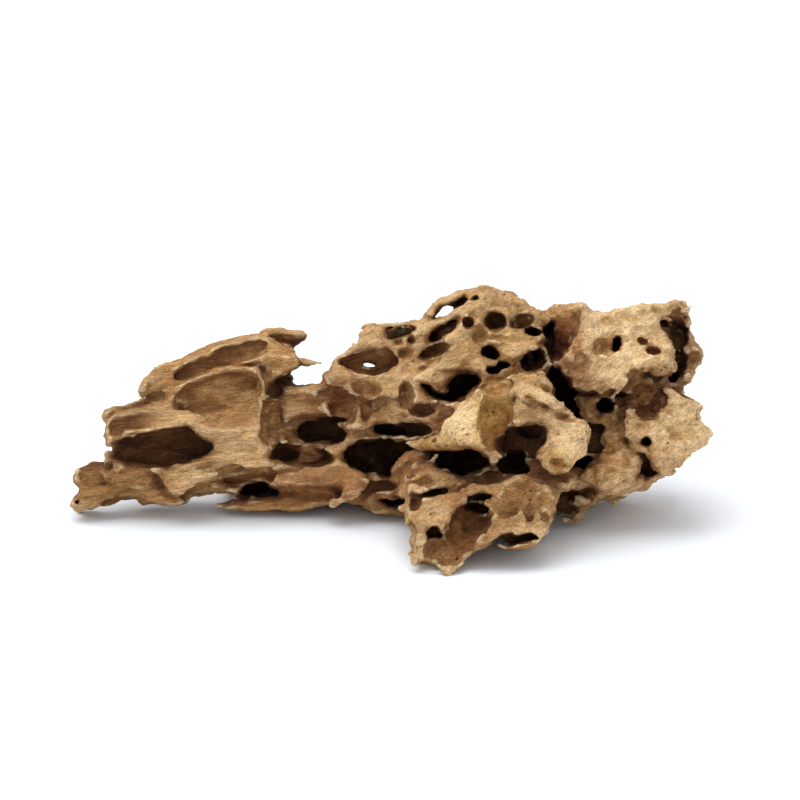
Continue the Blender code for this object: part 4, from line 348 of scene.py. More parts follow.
# Thin blades, ledges and crusts that stand in front of the mass.
FACE_SLABS = [
    Slab("left_shard", front=57, back=76, rounding=1, lean_right=0.05, lean_up=0.3, outline=[
        (-134, 58), (-133.3, 61), (-135.3, 65), (-133.5, 70), (-130.5, 74), (-128, 75.3), (-122, 76.7),
        (-115, 78.5), (-108, 80.5), (-101.5, 82), (-99.5, 80.5), (-95, 77), (-89, 73.3), (-86.7, 72),
        (-88, 70.5), (-92, 69.4), (-98, 68), (-106, 67), (-112, 66.5), (-120, 65.3), (-126, 64),
        (-131, 61.8)]),
    Slab("middle_face", front=58.5, back=76, rounding=1.2, lean_up=0.08, outline=[
        (-116, 48.5), (-112, 49.8), (-104, 50.3), (-98, 51.8), (-92, 54), (-86, 56.5), (-83.5, 58.3),
        (-84, 59.8), (-90, 62.6), (-96, 68.2), (-100, 72), (-104, 79), (-107.5, 85), (-100, 88),
        (-90, 92), (-80, 95.3), (-70, 96.5), (-63, 97), (-60.5, 91), (-59, 86), (-58.6, 82),
        (-59.5, 78), (-62, 71), (-61, 68), (-62.5, 64), (-60, 60), (-56, 58), (-58, 54), (-57, 52.5),
        (-54, 50), (-60, 48.5), (-70, 47), (-80, 44.8), (-85, 43), (-91, 41), (-94, 38), (-98, 36),
        (-102, 35.4), (-105, 37), (-106.7, 41), (-108, 44), (-112, 46.7)]),
    Slab("top_blade", front=68, back=88, rounding=1.2, lean_up=0.35, outline=[
        (-119.6, 82), (-119.6, 86.4), (-117.8, 90.6), (-115.2, 94.2), (-111, 97), (-107, 98.6),
        (-100, 100.6), (-93, 103.3), (-85, 106.2), (-82, 107.8), (-76, 109.3), (-74, 110.7),
        (-70, 111.7), (-64, 113.5), (-62, 112.8), (-57, 109.5), (-53, 107), (-50, 106), (-46.4, 105.8),
        (-44.4, 104), (-44, 100.5), (-43, 99.5), (-43, 95.8), (-45.6, 94.4), (-48.6, 92.8), (-53, 92),
        (-57, 88.5), (-58, 85), (-61, 83), (-63, 88), (-66, 95.6), (-75, 95.5), (-80, 94.5), (-90, 91),
        (-100, 87), (-107, 85), (-112, 83.5)]),
    Slab("back_tip", front=86, back=95, rounding=1.2, outline=[
        (-68, 108), (-64, 113.3), (-58, 115.6), (-50, 113.4), (-42.6, 113.9), (-40.4, 111),
        (-43, 108.5), (-46.6, 105.3), (-54, 102), (-64, 102)]),
    Slab("grey_plate", front=66, back=90, rounding=1.5, lean_up=0.1, outline=[
        (-137.4, 72.8), (-134.8, 76.2), (-130.6, 78.4), (-126, 80), (-122.6, 81.2), (-120.4, 84),
        (-114, 91), (-104, 92), (-98, 84), (-100, 78), (-120, 70), (-130, 67), (-134, 68.8)]),
    Slab("low_spike", front=80, back=90, rounding=0.9, outline=[
        (-58, 88), (-53, 92), (-50, 93.3), (-47, 92), (-45.2, 90.7), (-46, 90), (-49, 89), (-52, 86.5),
        (-55, 83), (-60, 83)]),
    Slab("bridge_lower_plate", front=61, back=80, rounding=0.9, lean_right=-0.08, outline=[
        (-65, 42.5), (-60, 46), (-50, 47.5), (-40, 49), (-34, 49.6), (-28, 51.3), (-26, 54), (-22, 52),
        (-19, 49.5), (-13, 46.8), (-10, 43), (-12, 38.5), (-22, 38.6), (-30, 39.8), (-45, 39.5),
        (-57, 39.2), (-59, 41)]),
    Slab("foot_tab", front=57, back=72, rounding=0.9, lean_right=-0.1, outline=[
        (-29.5, 31), (-28.5, 35), (-25, 36.2), (-23, 37.5), (-22, 41), (-14, 44.5), (-9, 43), (-13, 38),
        (-14, 35), (-18, 33), (-24, 31), (-28, 30.3)]),
    Slab("curly_crest", front=57, back=72, rounding=0.8, lean_right=-0.08, outline=[
        (-23.5, 68), (-21, 69.2), (-18, 70.7), (-16.8, 73), (-16.5, 77), (-16, 79.8), (-14.6, 80),
        (-13.8, 77.5), (-13.8, 74), (-14.5, 72), (-13, 71), (-11.7, 71.3), (-10.7, 73.7), (-9, 76),
        (-7.2, 77.2), (-5.5, 76.3), (-3, 75.3), (-0.5, 76.2), (0.8, 78), (1.5, 80.5), (3.2, 80),
        (3.2, 76.5), (1.5, 73.5), (-2, 71.5), (-5, 70), (-9.5, 68), (-11, 66.4), (-14, 66), (-20, 66.3)]),
    Slab("slope_plate", front=44, back=62, rounding=1, lean_right=0.25, lean_up=-0.3, outline=[
        (9.5, 90.5), (13, 93.5), (20, 98), (26, 101.5), (34, 107.5), (39, 107), (44, 101), (44, 96),
        (36, 93), (30, 91.3), (26.3, 88.7), (24.5, 85), (22, 83.3), (20.3, 84.5), (18.5, 87),
        (15, 88.5)]),
    Slab("shelf", front=38, back=56, rounding=1, lean_up=0.1, outline=[
        (40, 107), (43, 108.5), (50, 109.5), (56, 108), (64, 108), (67.5, 107), (69.2, 105),
        (67.5, 103.5), (65, 103), (62, 101.5), (60, 100.5), (58, 100), (57, 97.5), (56, 96.3), (55, 99),
        (53, 100.7), (49.3, 101.2), (49.6, 104.3), (47, 106)]),
    Slab("nose", front=16, back=52, rounding=1.6, lean_up=0.3, outline=[
        (24, 66), (27, 71.5), (30, 75.5), (33, 77.5), (37, 79.5), (41, 83.5), (45, 88.5), (52, 91),
        (60, 93), (70, 94), (74, 88), (76, 80), (84, 75.3), (84.5, 72.5), (86.5, 71), (89, 70.3),
        (90.5, 67.5), (91.6, 64), (91, 60), (90, 57), (88.5, 56), (86, 54.6), (84, 53.3), (83, 51),
        (81.5, 48), (79, 46.3), (76, 45.8), (72, 46.6), (69, 49), (66, 52), (60, 54), (54, 54.5),
        (50, 53), (47, 50.8), (44, 54), (40, 57.6), (34, 59.3), (30, 60), (26, 62)]),
    Slab("nose_blade", front=11, back=30, rounding=1, lean_up=0.2, outline=[
        (55.5, 85.5), (58, 86.7), (61, 88.6), (64, 88), (67, 86.2), (71, 83.9), (75, 82.2), (78, 80.7),
        (79.8, 79), (79.4, 77), (77.5, 75.7), (75, 75.2), (72, 75.8), (68, 77.3), (64, 79.3),
        (60, 80.8), (57, 82)]),
    Slab("hook", front=12, back=30, rounding=1, lean_up=0.1, outline=[
        (53, 67), (54.5, 71), (55, 75), (55.5, 80), (60, 80), (66, 77), (72, 75), (77, 73), (78, 68),
        (75, 60), (72.5, 61), (72.5, 66), (70.5, 69), (66, 70.3), (60, 69.2), (56, 68.6)]),
    Slab("knob", front=11, back=36, rounding=3.2, lean_up=0.1, outline=[
        (74, 73.5), (78, 76), (81, 76.3), (83.5, 75.4), (84.6, 72.6), (86.6, 71.2), (89, 70.4),
        (90.6, 67.6), (91.6, 64), (91.1, 60), (90, 57), (88.5, 56), (86, 54.7), (84, 53.4), (83, 51),
        (81.5, 48), (79, 46.4), (76, 45.9), (72, 46.7), (69, 49), (67, 52), (67, 54), (69, 57),
        (72, 60.5), (73, 64), (73, 69)]),
    Slab("front_lobe", front=5, back=46, rounding=1.8, lean_up=0.42, outline=[
        (6, 26), (7, 22), (9, 20), (8, 16), (8.5, 13.5), (10, 12), (8, 9), (7.7, 6), (9.5, 4),
        (14, 4.8), (20, 4.6), (21.5, 1.5), (24.5, -0.8), (26, -0.8), (29, 1), (33, 5), (37, 10.2),
        (41, 13.4), (46, 14.6), (50, 13.2), (55, 12.2), (60, 12.8), (65, 13.8), (68, 15), (71.5, 19),
        (73.5, 24), (74.5, 29), (76.5, 35), (74, 42), (64, 46), (57, 47.3), (50, 43.5), (40, 42),
        (30, 38), (22, 37), (17, 39), (10, 41), (8, 34), (6.5, 29)]),
    Slab("hood_tooth", front=11, back=24, rounding=0.8, lean_up=0.42, outline=[
        (39, 40.4), (43.6, 41.4), (47, 41.2), (52.6, 42.6), (50.8, 38.6), (48.6, 34.4), (47.6, 32.4),
        (46.2, 34.4), (44.8, 37.6), (42.6, 39.4)]),
    Slab("right_upper", front=35, back=60, rounding=1.2, lean_right=0.2, lean_up=0.12, outline=[
        (75, 98), (79, 100.5), (81, 103), (82.5, 108), (86, 112), (86.5, 115), (87, 121), (84.5, 124),
        (87.4, 125.9), (90.2, 124.8), (93.2, 121.6), (100, 121.9), (105, 123.8), (110, 124),
        (116, 126.2), (121, 125.4), (125, 126.4), (133, 128.1), (139, 127.5), (141.5, 124.6),
        (140.4, 121), (133, 120), (126, 119.5), (124, 116.5), (126, 113.5), (129, 109), (131, 105),
        (130, 99), (131.5, 96), (131, 93.5), (128, 92.5), (124, 92.2), (120, 95.5), (114, 92),
        (108, 88), (108, 85.5), (106, 84.8), (104, 83.5), (102, 81), (100, 80.4), (98, 82), (95, 84.4),
        (90, 84.2), (86, 85), (83, 86.5), (81.5, 90), (79, 92.5), (77, 96)]),
    Slab("cliff", front=47, back=68, rounding=1, lean_right=-1.3, outline=[
        (74.6, 98), (78, 97), (82, 99), (85, 103), (88, 110), (89, 121.4), (86, 123.8), (81, 122.4),
        (77, 122), (75.6, 118), (75.8, 110), (74.4, 104)]),
    Slab("right_lower_plate", front=38, back=62, rounding=1.1, lean_right=0.24, lean_up=0.1, outline=[
        (107, 77), (109, 78), (112, 77.5), (114, 74.5), (118, 72), (121, 71.7), (123.5, 73),
        (124, 75.5), (126.5, 79), (127, 83), (126, 87), (129.4, 87.2), (132, 85.4), (135.4, 83.2),
        (139, 82), (143, 80.5), (146.3, 77), (144, 74), (145.5, 70), (147, 68.5), (150, 67),
        (150.7, 64.5), (148, 62), (145, 59), (140.8, 56.2), (137.9, 52.2), (135, 48.4), (131, 46.4),
        (128, 45.6), (124, 47), (121.5, 50), (120, 53), (119, 57), (116, 57.8), (112.5, 59.5),
        (109.5, 63), (108, 68), (107, 72)]),
    Slab("low_right_face", front=43, back=60, rounding=1.5, lean_up=0.05, outline=[
        (85, 82.6), (88, 85), (96, 84.6), (104, 83), (110, 82), (109, 76), (108, 66), (110, 60),
        (118, 54), (116, 48), (112, 42), (106, 37), (98, 36), (94, 41), (88, 42), (86, 46), (92, 50),
        (96, 55), (99, 58), (98, 64), (99, 68), (94, 69), (89, 70), (86, 74), (85, 79)]),
    Slab("low_right_arm", front=52, back=66, rounding=1.2, outline=[
        (84, 42), (90, 40), (94, 38), (98, 36), (97, 34), (95, 32), (91, 30.6), (87, 31.4), (83.5, 33),
        (86, 36)]),
]

# Slender strands and fingers, through points (across, up, deep, radius).
STRANDS = [
    Strand("spike", [
        (-50, 98, 76, 4.8), (-45, 98, 75, 4), (-41, 98, 74, 3), (-37.4, 98, 73.4, 2.2),
        (-33.4, 98.1, 73, 1.7)]),
    Strand("trough_ridge", [
        (-1.5, 105.6, 61, 1.6), (-5, 102.6, 62, 1.4), (-8, 99.8, 63, 1.2), (-10, 97, 64, 1)]),
    Strand("arch", [
        (15, 115, 60, 4), (16.9, 119.6, 60, 3), (19.3, 123, 60, 2.8), (23, 126.2, 60, 2.6),
        (28, 127.7, 60, 2.6), (33, 129.8, 60, 2.8), (38, 131.2, 60, 3), (44, 132, 60, 3),
        (47, 131.2, 60, 3)]),
    Strand("finger", [
        (3, 60, 34, 1.6), (8, 60.2, 31, 2.8), (16, 60.3, 28, 4), (26, 62, 24, 5.2), (36, 66, 24, 7)]),
    Strand("knob_small", [
        (63, 121, 66, 3), (64.6, 124.2, 66, 1.3)]),
    Strand("nose_crest", [
        (17.5, 80.3, 46, 1.4), (22, 79.3, 40, 1.8), (30, 78, 32, 2), (36, 79.5, 28, 2.4),
        (42, 84, 26, 2.6)]),
    Strand("twig_a", [
        (10.5, 57, 42, 1.3), (11, 53, 40, 1), (12, 48.5, 40, 0.7)]),
    Strand("twig_b", [
        (17, 47.5, 36, 0.8), (18, 44, 36, 1), (20.5, 39.5, 36, 0.8)]),
    Strand("twisted_bit", [
        (1, 46, 60, 1.5), (4, 50, 56, 3), (8, 53, 52, 3.6), (13, 54, 48, 3)]),
    Strand("wing_twig", [
        (-60.5, 83.5, 63, 0.9), (-57, 82.3, 64, 0.8), (-53, 80.8, 68, 0.6)]),
    Strand("nose_left_bulge", [
        (30, 66, 24, 7.5), (36, 69, 24, 7), (38, 62, 24, 5)]),
]

# Openings cut through the faces.
FACE_WINDOWS = [
    Window("nose_hollow", floor=41, rounding=4, outline=[
        (53, 67.3), (56, 68.5), (60, 69), (66, 70), (70, 68.8), (72, 66), (72.3, 63), (70, 60),
        (67.5, 56.5), (66.5, 53), (60, 54.5), (54, 54.8), (50, 57), (51, 62)]),
    Window("front_under", floor=38, rounding=1.2, outline=[
        (45.4, 15.2), (46.4, 16.8), (49.6, 18.6), (53, 20), (55, 20.2), (56.4, 18.8), (58, 18.6),
        (60, 19.8), (63, 20), (66, 19.4), (67.6, 17.8), (66.6, 16.2), (62, 15), (57, 14.2), (51, 14.2),
        (47, 14.6)]),
    Window("hood_pit", floor=18, rounding=0.8, outline=[
        (15.4, 19.5), (16.3, 22), (19, 23.2), (21.7, 22), (23, 19), (22.5, 17.3), (20, 18), (17, 16.8),
        (15.8, 17)]),
    Window("eye_hole", floor=84, rounding=1, outline=[
        (101.8, 105.5), (102.5, 109), (104.5, 110.6), (106.5, 109.8), (107.3, 106.5), (106.2, 103.3),
        (104, 102.3), (102.5, 103.2)]),
    Window("plate_hole", floor=68, rounding=0.8, outline=[
        (114.5, 61), (115.3, 63), (118, 64.3), (120.2, 63.5), (120.6, 61), (119.5, 59), (117.3, 59),
        (115.5, 60)]),
]

# Holes that light shines through.
THROUGH_WINDOWS = [
    Window("arch_hole", floor=170, rounding=0.6, outline=[
        (21.6, 120.4), (22, 122), (23.2, 123.8), (25, 125.2), (27, 125.6), (28.4, 124.6), (28.6, 123.2),
        (27.2, 121.6), (25, 120.3), (23, 119.8)]),
    Window("slot_through", floor=170, rounding=0.6, outline=[
        (-14.6, 97.6), (-12.6, 98.7), (-9.6, 98.1), (-7, 97.3), (-7.4, 96.3), (-9.4, 95.7),
        (-11.6, 95.6), (-13.8, 96.6)]),
]

# Rounded hollows cut into the faces.
FACE_HOLLOWS = [
    Hollow("left_shard_dish", (-112, 72), floor=61.6, radii=(19, 5.4, 10), roll=8),
    Hollow("left_shard_end", (-129, 68), floor=61, radii=(4.5, 6, 8)),
    Hollow("middle_scoop", (-80, 84), floor=71, radii=(21, 11, 13), roll=10),
    Hollow("middle_scoop_left", (-93, 83), floor=70, radii=(12, 6, 12), roll=30),
    Hollow("middle_scoop_low", (-76, 73), floor=65, radii=(17, 6, 10), roll=4),
    Hollow("low_face_dish", (-72, 57), floor=62, radii=(13, 5, 10)),
    Hollow("low_face_dish_b", (-82, 49.5), floor=62, radii=(15, 4, 10), roll=12),
    Hollow("low_shard_dish", (-99, 44), floor=60.5, radii=(8, 6, 8), roll=40),
    Hollow("top_trough", (-88, 97.6), floor=72.6, radii=(18, 4.6, 9), roll=22),
    Hollow("top_trough_mid", (-72, 103), floor=76, radii=(17, 5.4, 9), roll=14),
    Hollow("back_tip_dish", (-50, 110.4), floor=88.4, radii=(8, 2.4, 6), roll=2),
    Hollow("prong_crack", (-128, 40.9), floor=80, radii=(12, 0.9, 8), roll=1),
    Hollow("prong_end", (-147.8, 32.6), floor=70.5, radii=(1.9, 1.2, 5)),
    Hollow("prong_knot", (-143.5, 41.2), floor=73, radii=(2.6, 1.2, 6)),
    Hollow("face_dish_a", (-11, 87), floor=56.6, radii=(7.5, 4.2, 6), roll=-15),
    Hollow("face_dish_b", (-4.5, 79.5), floor=59.5, radii=(5, 3.2, 8)),
    Hollow("face_dish_c", (7, 84), floor=56, radii=(3.6, 6, 7), roll=10),
    Hollow("face_dish_d", (14, 76), floor=56.5, radii=(7, 3.4, 8)),
    Hollow("face_dish_e", (-11.8, 73.5), floor=66, radii=(1.4, 3, 8)),
    Hollow("lower_plate_dish", (-44, 43.5), floor=64.5, radii=(16, 3, 8), roll=3),
    Hollow("lower_right_face", (-4, 40.5), floor=66, radii=(8, 3.5, 10)),
    Hollow("long_dish", (19, 103.3), floor=60, radii=(8.6, 3.8, 12), roll=22),
    Hollow("small_pit_a", (3, 108), floor=61, radii=(3, 2.2, 6), roll=10),
    Hollow("small_pit_b", (9, 109), floor=61, radii=(2.6, 2.6, 6)),
    Hollow("small_dish_c", (6.5, 102.8), floor=60, radii=(4.4, 3.4, 8), roll=25),
    Hollow("facet", (41, 111), floor=50, radii=(4, 6, 8)),
    Hollow("bowl", (50, 124.5), floor=50.5, radii=(7.5, 5.5, 8), roll=-10),
    Hollow("upper_left_dish_a", (32.4, 126.4), floor=66, radii=(4.2, 1.9, 12), roll=28),
    Hollow("upper_left_dish_c", (39, 128.2), floor=56, radii=(2.4, 1.1, 8), roll=20),
    Hollow("upper_left_dish_b", (35.5, 116.5), floor=52, radii=(2.8, 3.4, 8), roll=30),
    Hollow("top_dish_a", (61, 117.5), floor=54, radii=(7, 3.6, 12), roll=18),
    Hollow("top_dish_b", (65.5, 112), floor=62, radii=(4.3, 2.3, 14), roll=-5),
    Hollow("side_bowl", (66, 99), floor=58, radii=(6.6, 5, 14), roll=25),
    Hollow("side_hole", (62.3, 99.6), floor=74, radii=(1.7, 1.5, 30), roll=30),
    Hollow("side_dark", (67.3, 102), floor=68, radii=(2.4, 3.6, 16)),
    Hollow("shelf_dish", (55, 104.5), floor=42, radii=(6, 2.2, 6)),
    Hollow("shelf_under", (52, 97), floor=66, radii=(3.6, 2.4, 26)),
    Hollow("shelf_under_b", (47, 94.5), floor=62, radii=(4, 2.2, 24)),
    Hollow("nose_scoop", (47.6, 74), floor=27.5, radii=(8.6, 17, 11), roll=-3),
    Hollow("nose_scoop_top", (47.5, 87.5), floor=34, radii=(9, 5, 12)),
    Hollow("nose_scoop_low", (56, 60), floor=36, radii=(9, 6, 16)),
    Hollow("nose_pit", (28, 75.5), floor=34, radii=(2, 1.3, 8)),
    Hollow("nose_left_pit", (29.4, 64.4), floor=19.5, radii=(1, 0.8, 4)),
    Hollow("nose_hollow_top", (64, 66), floor=47, radii=(7, 4, 14)),
    Hollow("nose_blade_dish", (67.5, 78), floor=16.4, radii=(9, 2.6, 5), roll=-19),
    Hollow("nose_small_dish", (79, 72.6), floor=18, radii=(4.4, 2.2, 6)),
    Hollow("knob_pit", (75.5, 51.6), floor=14.5, radii=(4.4, 3.4, 5), roll=-30),
    Hollow("front_bowl", (36.6, 25.4), floor=19, radii=(9.8, 9, 12), roll=20),
    Hollow("front_bowl_way", (31.5, 18.5), floor=15.5, radii=(8.5, 8.5, 11), roll=-40),
    Hollow("front_bowl_top", (39.4, 31), floor=30, radii=(6.8, 2.4, 14), roll=-10),
    Hollow("front_arch", (40.4, 36), floor=25, radii=(6.4, 2.1, 12), roll=6),
    Hollow("front_bowl_low", (25, 12.5), floor=11.5, radii=(9, 8, 10), roll=-35),
    Hollow("hood_trough", (18.5, 12), floor=10, radii=(4, 6.5, 10)),
    Hollow("foot_hollow", (15, 5.5), floor=12, radii=(5, 2.2, 16), roll=5),
    Hollow("left_fold", (8.5, 18), floor=20, radii=(3, 7, 14)),
    Hollow("left_fold_b", (10, 34), floor=26, radii=(4, 5, 12), roll=10),
    Hollow("front_top_dish", (46, 45.5), floor=32, radii=(10, 3.6, 12), roll=12),
    Hollow("front_top_dark", (20, 38), floor=34, radii=(8, 2, 16), roll=12),
    Hollow("front_side_dish", (60.5, 42.8), floor=18, radii=(5.2, 2, 5), roll=4),
    Hollow("eye_dish", (98.5, 105.8), floor=40, radii=(6.4, 4.6, 7), roll=10),
    Hollow("right_small_dish", (121, 103.5), floor=42.6, radii=(3.8, 2.8, 6), roll=-10),
    Hollow("right_small_dish_b", (116.2, 108.3), floor=43, radii=(3, 1.8, 5)),
    Hollow("right_low_dish", (100, 83.6), floor=38, radii=(4, 2.4, 5), roll=25),
    Hollow("right_under_dish", (113, 92), floor=46, radii=(5, 4, 8), roll=35),
    Hollow("plate_top_dish", (119, 76), floor=50, radii=(5, 5.5, 14)),
    Hollow("black_round", (99.3, 78.2), floor=86, radii=(4.3, 4.1, 50)),
    Hollow("round_neighbour_rim", (107.4, 80.4), floor=54, radii=(3.8, 4, 14)),
]

# Sharp crests along the surface, through points (across, up).
CRESTS = [
    [(-107.5, 85), (-98, 88.6), (-88, 92.6), (-78, 95.6), (-68, 96.9), (-60, 97.2), (-53, 99.3),
     (-47, 101.3), (-44.8, 103)],
    [(-133, 62), (-122, 65.3), (-110, 67), (-100, 68.3), (-92, 69.8), (-88, 71.5)],
    [(-133.5, 70.5), (-126, 75.5), (-115, 78.4), (-107, 80.6), (-101.5, 81.6), (-95, 77), (-88.5, 72.3)],
    [(-95, 67.8), (-90, 62.4), (-84.5, 59.3)],
    [(-84.5, 57), (-92, 53.6), (-100, 51), (-108, 49.6), (-115, 48)],
    [(-66, 96), (-61.3, 91), (-59.7, 85), (-60, 78), (-62, 71.5), (-61.3, 68), (-62.6, 64), (-60.2, 60),
     (-57, 57.6), (-58, 54)],
    [(-93, 66.6), (-82, 66.2), (-70, 66.4), (-62.5, 67.5)],
    [(-78, 55.5), (-70, 55.3), (-60, 57)],
    [(-92, 47), (-80, 49.5), (-70, 48.6), (-60, 48.6), (-45, 49.2), (-34, 49.8)],
    [(-115, 48), (-109, 46), (-107, 41), (-103.5, 36.3), (-98, 36.6), (-92, 41), (-85, 43.4),
     (-74, 45.6), (-62, 49)],
    [(-118, 85), (-112, 90), (-104, 94.6), (-94, 98.8), (-84, 102.6)],
    [(-60, 112), (-53, 108), (-48, 106), (-45, 103.6)],
    [(-60, 97), (-55, 94), (-51, 93), (-46, 91)],
    [(-50, 87.5), (-42, 87), (-35, 88), (-31, 90.5)],
    [(-50, 84), (-42, 84), (-34, 85.5), (-29, 89)],
    [(-47, 78), (-40, 75.5), (-34, 77), (-30, 80)],
    [(-56, 60.5), (-48, 60.3), (-40, 59.4), (-32, 59.4), (-24, 60), (-21, 62.5)],
    [(-50, 73), (-49, 68), (-46, 64), (-42, 61)],
    [(-21, 62), (-14, 62.3), (-6, 63.4), (4, 63.2), (12, 64), (20, 65.6)],
    [(-10, 67), (-4, 70), (4, 70.4), (12, 70), (18, 68)],
    [(-32, 90.5), (-24, 92), (-18, 92.8), (-10, 91.6), (-2, 92), (3, 95), (8, 99)],
    [(-17, 80), (-18, 84), (-20, 88), (-19, 92)],
    [(2, 80), (5, 83), (10, 86), (14, 89)],
    [(-8, 76.6), (-9, 80.5), (-5, 84), (-1, 83)],
    [(-26, 100), (-17, 102.6), (-8, 104.2), (-2, 106), (3, 106)],
    [(1, 111), (6, 114), (11, 115.6), (15, 116)],
    [(10, 100), (16, 105.5), (22, 108.3), (27, 108.2)],
    [(9, 95), (18, 99.5), (26, 103.5), (33, 109), (36, 114), (39, 120), (41, 126)],
    [(34, 108), (40, 113), (43, 116.5), (43.5, 121), (42, 127)],
    [(43.5, 119), (46, 123.5), (50, 123.5), (54, 120), (54, 115), (50, 111.6), (45, 112.5)],
    [(56, 127), (57, 121), (58, 115), (60, 110)],
    [(58, 121), (64, 119), (69, 119)],
    [(40, 107), (47, 108.2), (55, 107), (62, 107.4), (68, 106)],
    [(59, 96), (58.6, 100), (61, 104), (66, 106)],
    [(60, 94.5), (66, 93.4), (71, 95), (74, 98.5), (73, 103)],
    [(40, 100), (40, 95), (36, 92), (29, 89.5), (25, 85.5), (22, 83.2), (19, 87), (14, 90)],
    [(17.5, 80.8), (22, 79.7), (28, 79.3), (34, 81), (39, 84.5), (43, 89)],
    [(26.5, 76), (28, 71), (25.5, 67), (18, 64.6), (9, 62.8), (3, 61)],
    [(39.5, 86), (40, 79), (40, 72), (41, 65), (43, 57), (46.5, 51.5)],
    [(57, 86), (62, 88), (68, 86), (74, 82.6), (79, 79.8)],
    [(55.5, 85), (55, 80), (55.5, 74), (53.4, 67.8), (58, 69), (64, 70), (70, 68.8), (72.6, 65),
     (72, 61)],
    [(56.5, 81), (63, 80), (68, 77.6), (74, 75.6)],
    [(76, 75.6), (82, 76), (85, 73), (88.6, 70.5), (90.6, 66)],
    [(76, 70), (80, 69.5), (84, 70.4), (87.6, 70)],
    [(67, 55), (70, 53), (74, 54.5), (79, 54.6), (82.4, 51)],
    [(79, 64), (85, 65), (89, 62.5), (90, 58)],
    [(25.4, 0.8), (29, 3), (33.4, 5.6), (38.2, 10.4), (42, 14.8), (47.6, 17.6), (52, 20.5)],
    [(34.4, 10.3), (38.2, 13.7), (41, 17.3), (44.3, 20.8), (46.6, 26), (48, 28.6)],
    [(22.5, 17.8), (26.2, 22), (27.2, 26.5), (29, 31.7), (33.4, 35.5), (37.2, 38.8)],
    [(32.5, 32), (36, 33.6), (40, 33.6), (44, 32), (47, 29.4)],
    [(16.4, 35.5), (22, 38), (26.3, 39.2), (32, 40), (39, 40.8), (43.9, 39.7), (46, 36), (47.7, 33.1)],
    [(47.7, 33.1), (50, 38), (52.4, 41.6), (58.5, 45.4)],
    [(15.9, 33.6), (14.5, 27.9), (13, 24.1), (13.5, 19.3), (11.2, 14.6), (9.7, 12.2)],
    [(15.5, 22.5), (18.6, 24.2), (21.6, 22.6), (23, 19)],
    [(8, 23.6), (6.6, 27), (8.4, 35.5), (8, 39.7), (10.5, 46), (10.5, 53)],
    [(9.5, 7.6), (11.2, 8.4), (16.8, 7.5), (21.1, 6), (23, 3.2), (25.4, 0.4)],
    [(50, 20.6), (52.9, 21.7), (56.2, 18.8), (59.5, 18.4), (64.2, 19.6), (67, 18.4)],
    [(68, 22), (70.6, 26)],
    [(67, 38), (69, 34), (70.6, 30)],
    [(23, 42), (28, 45.6), (33, 43.4), (29, 40.5), (24, 40.6)],
    [(79, 100), (82.5, 103.5), (83, 109), (87, 113), (87, 121)],
    [(83, 86), (88, 86.5), (95, 85), (99, 81.5), (103, 83), (108, 86.5), (109, 90), (116, 93.5),
     (121, 97)],
    [(94, 91), (100, 88.5), (105, 88)],
    [(96, 110), (102, 112), (108, 111), (112, 108), (116, 103), (122, 100.5), (129, 98)],
    [(90, 92), (94, 98), (96, 104), (96, 112), (93, 120)],
    [(100, 121), (106, 117), (113, 115), (120, 114), (124, 117)],
    [(124, 118), (127, 112), (130, 106), (130.5, 99), (131.5, 94)],
    [(130, 106), (135, 104), (139, 103), (144, 103.5)],
    [(127, 119), (131, 116), (135, 113), (138, 112)],
    [(108, 77), (111, 73.5), (115, 72.6), (119, 71.8), (123.5, 74), (126, 79), (127, 85)],
    [(108, 76), (108, 69), (110, 63), (113.5, 58.6), (118.5, 57), (120.5, 52), (125, 47)],
    [(124, 76), (129, 79), (134, 78), (140, 77), (145, 77)],
    [(128, 68), (134, 72), (140, 71), (146, 69)],
    [(131, 52), (133, 58), (138, 62), (145, 64)],
    [(88, 82), (91, 75), (95, 69.5), (98.5, 68.5), (97.5, 62), (99, 57)],
    [(104, 78), (103, 70), (105, 62), (110, 56), (112, 50)],
    [(88, 54), (96, 51), (103, 50), (110, 47), (116, 44)],
    [(87, 42.5), (93, 41), (98, 36.5), (94, 30.5)],
    [(96, 45), (102, 42), (108, 39.6)],
]

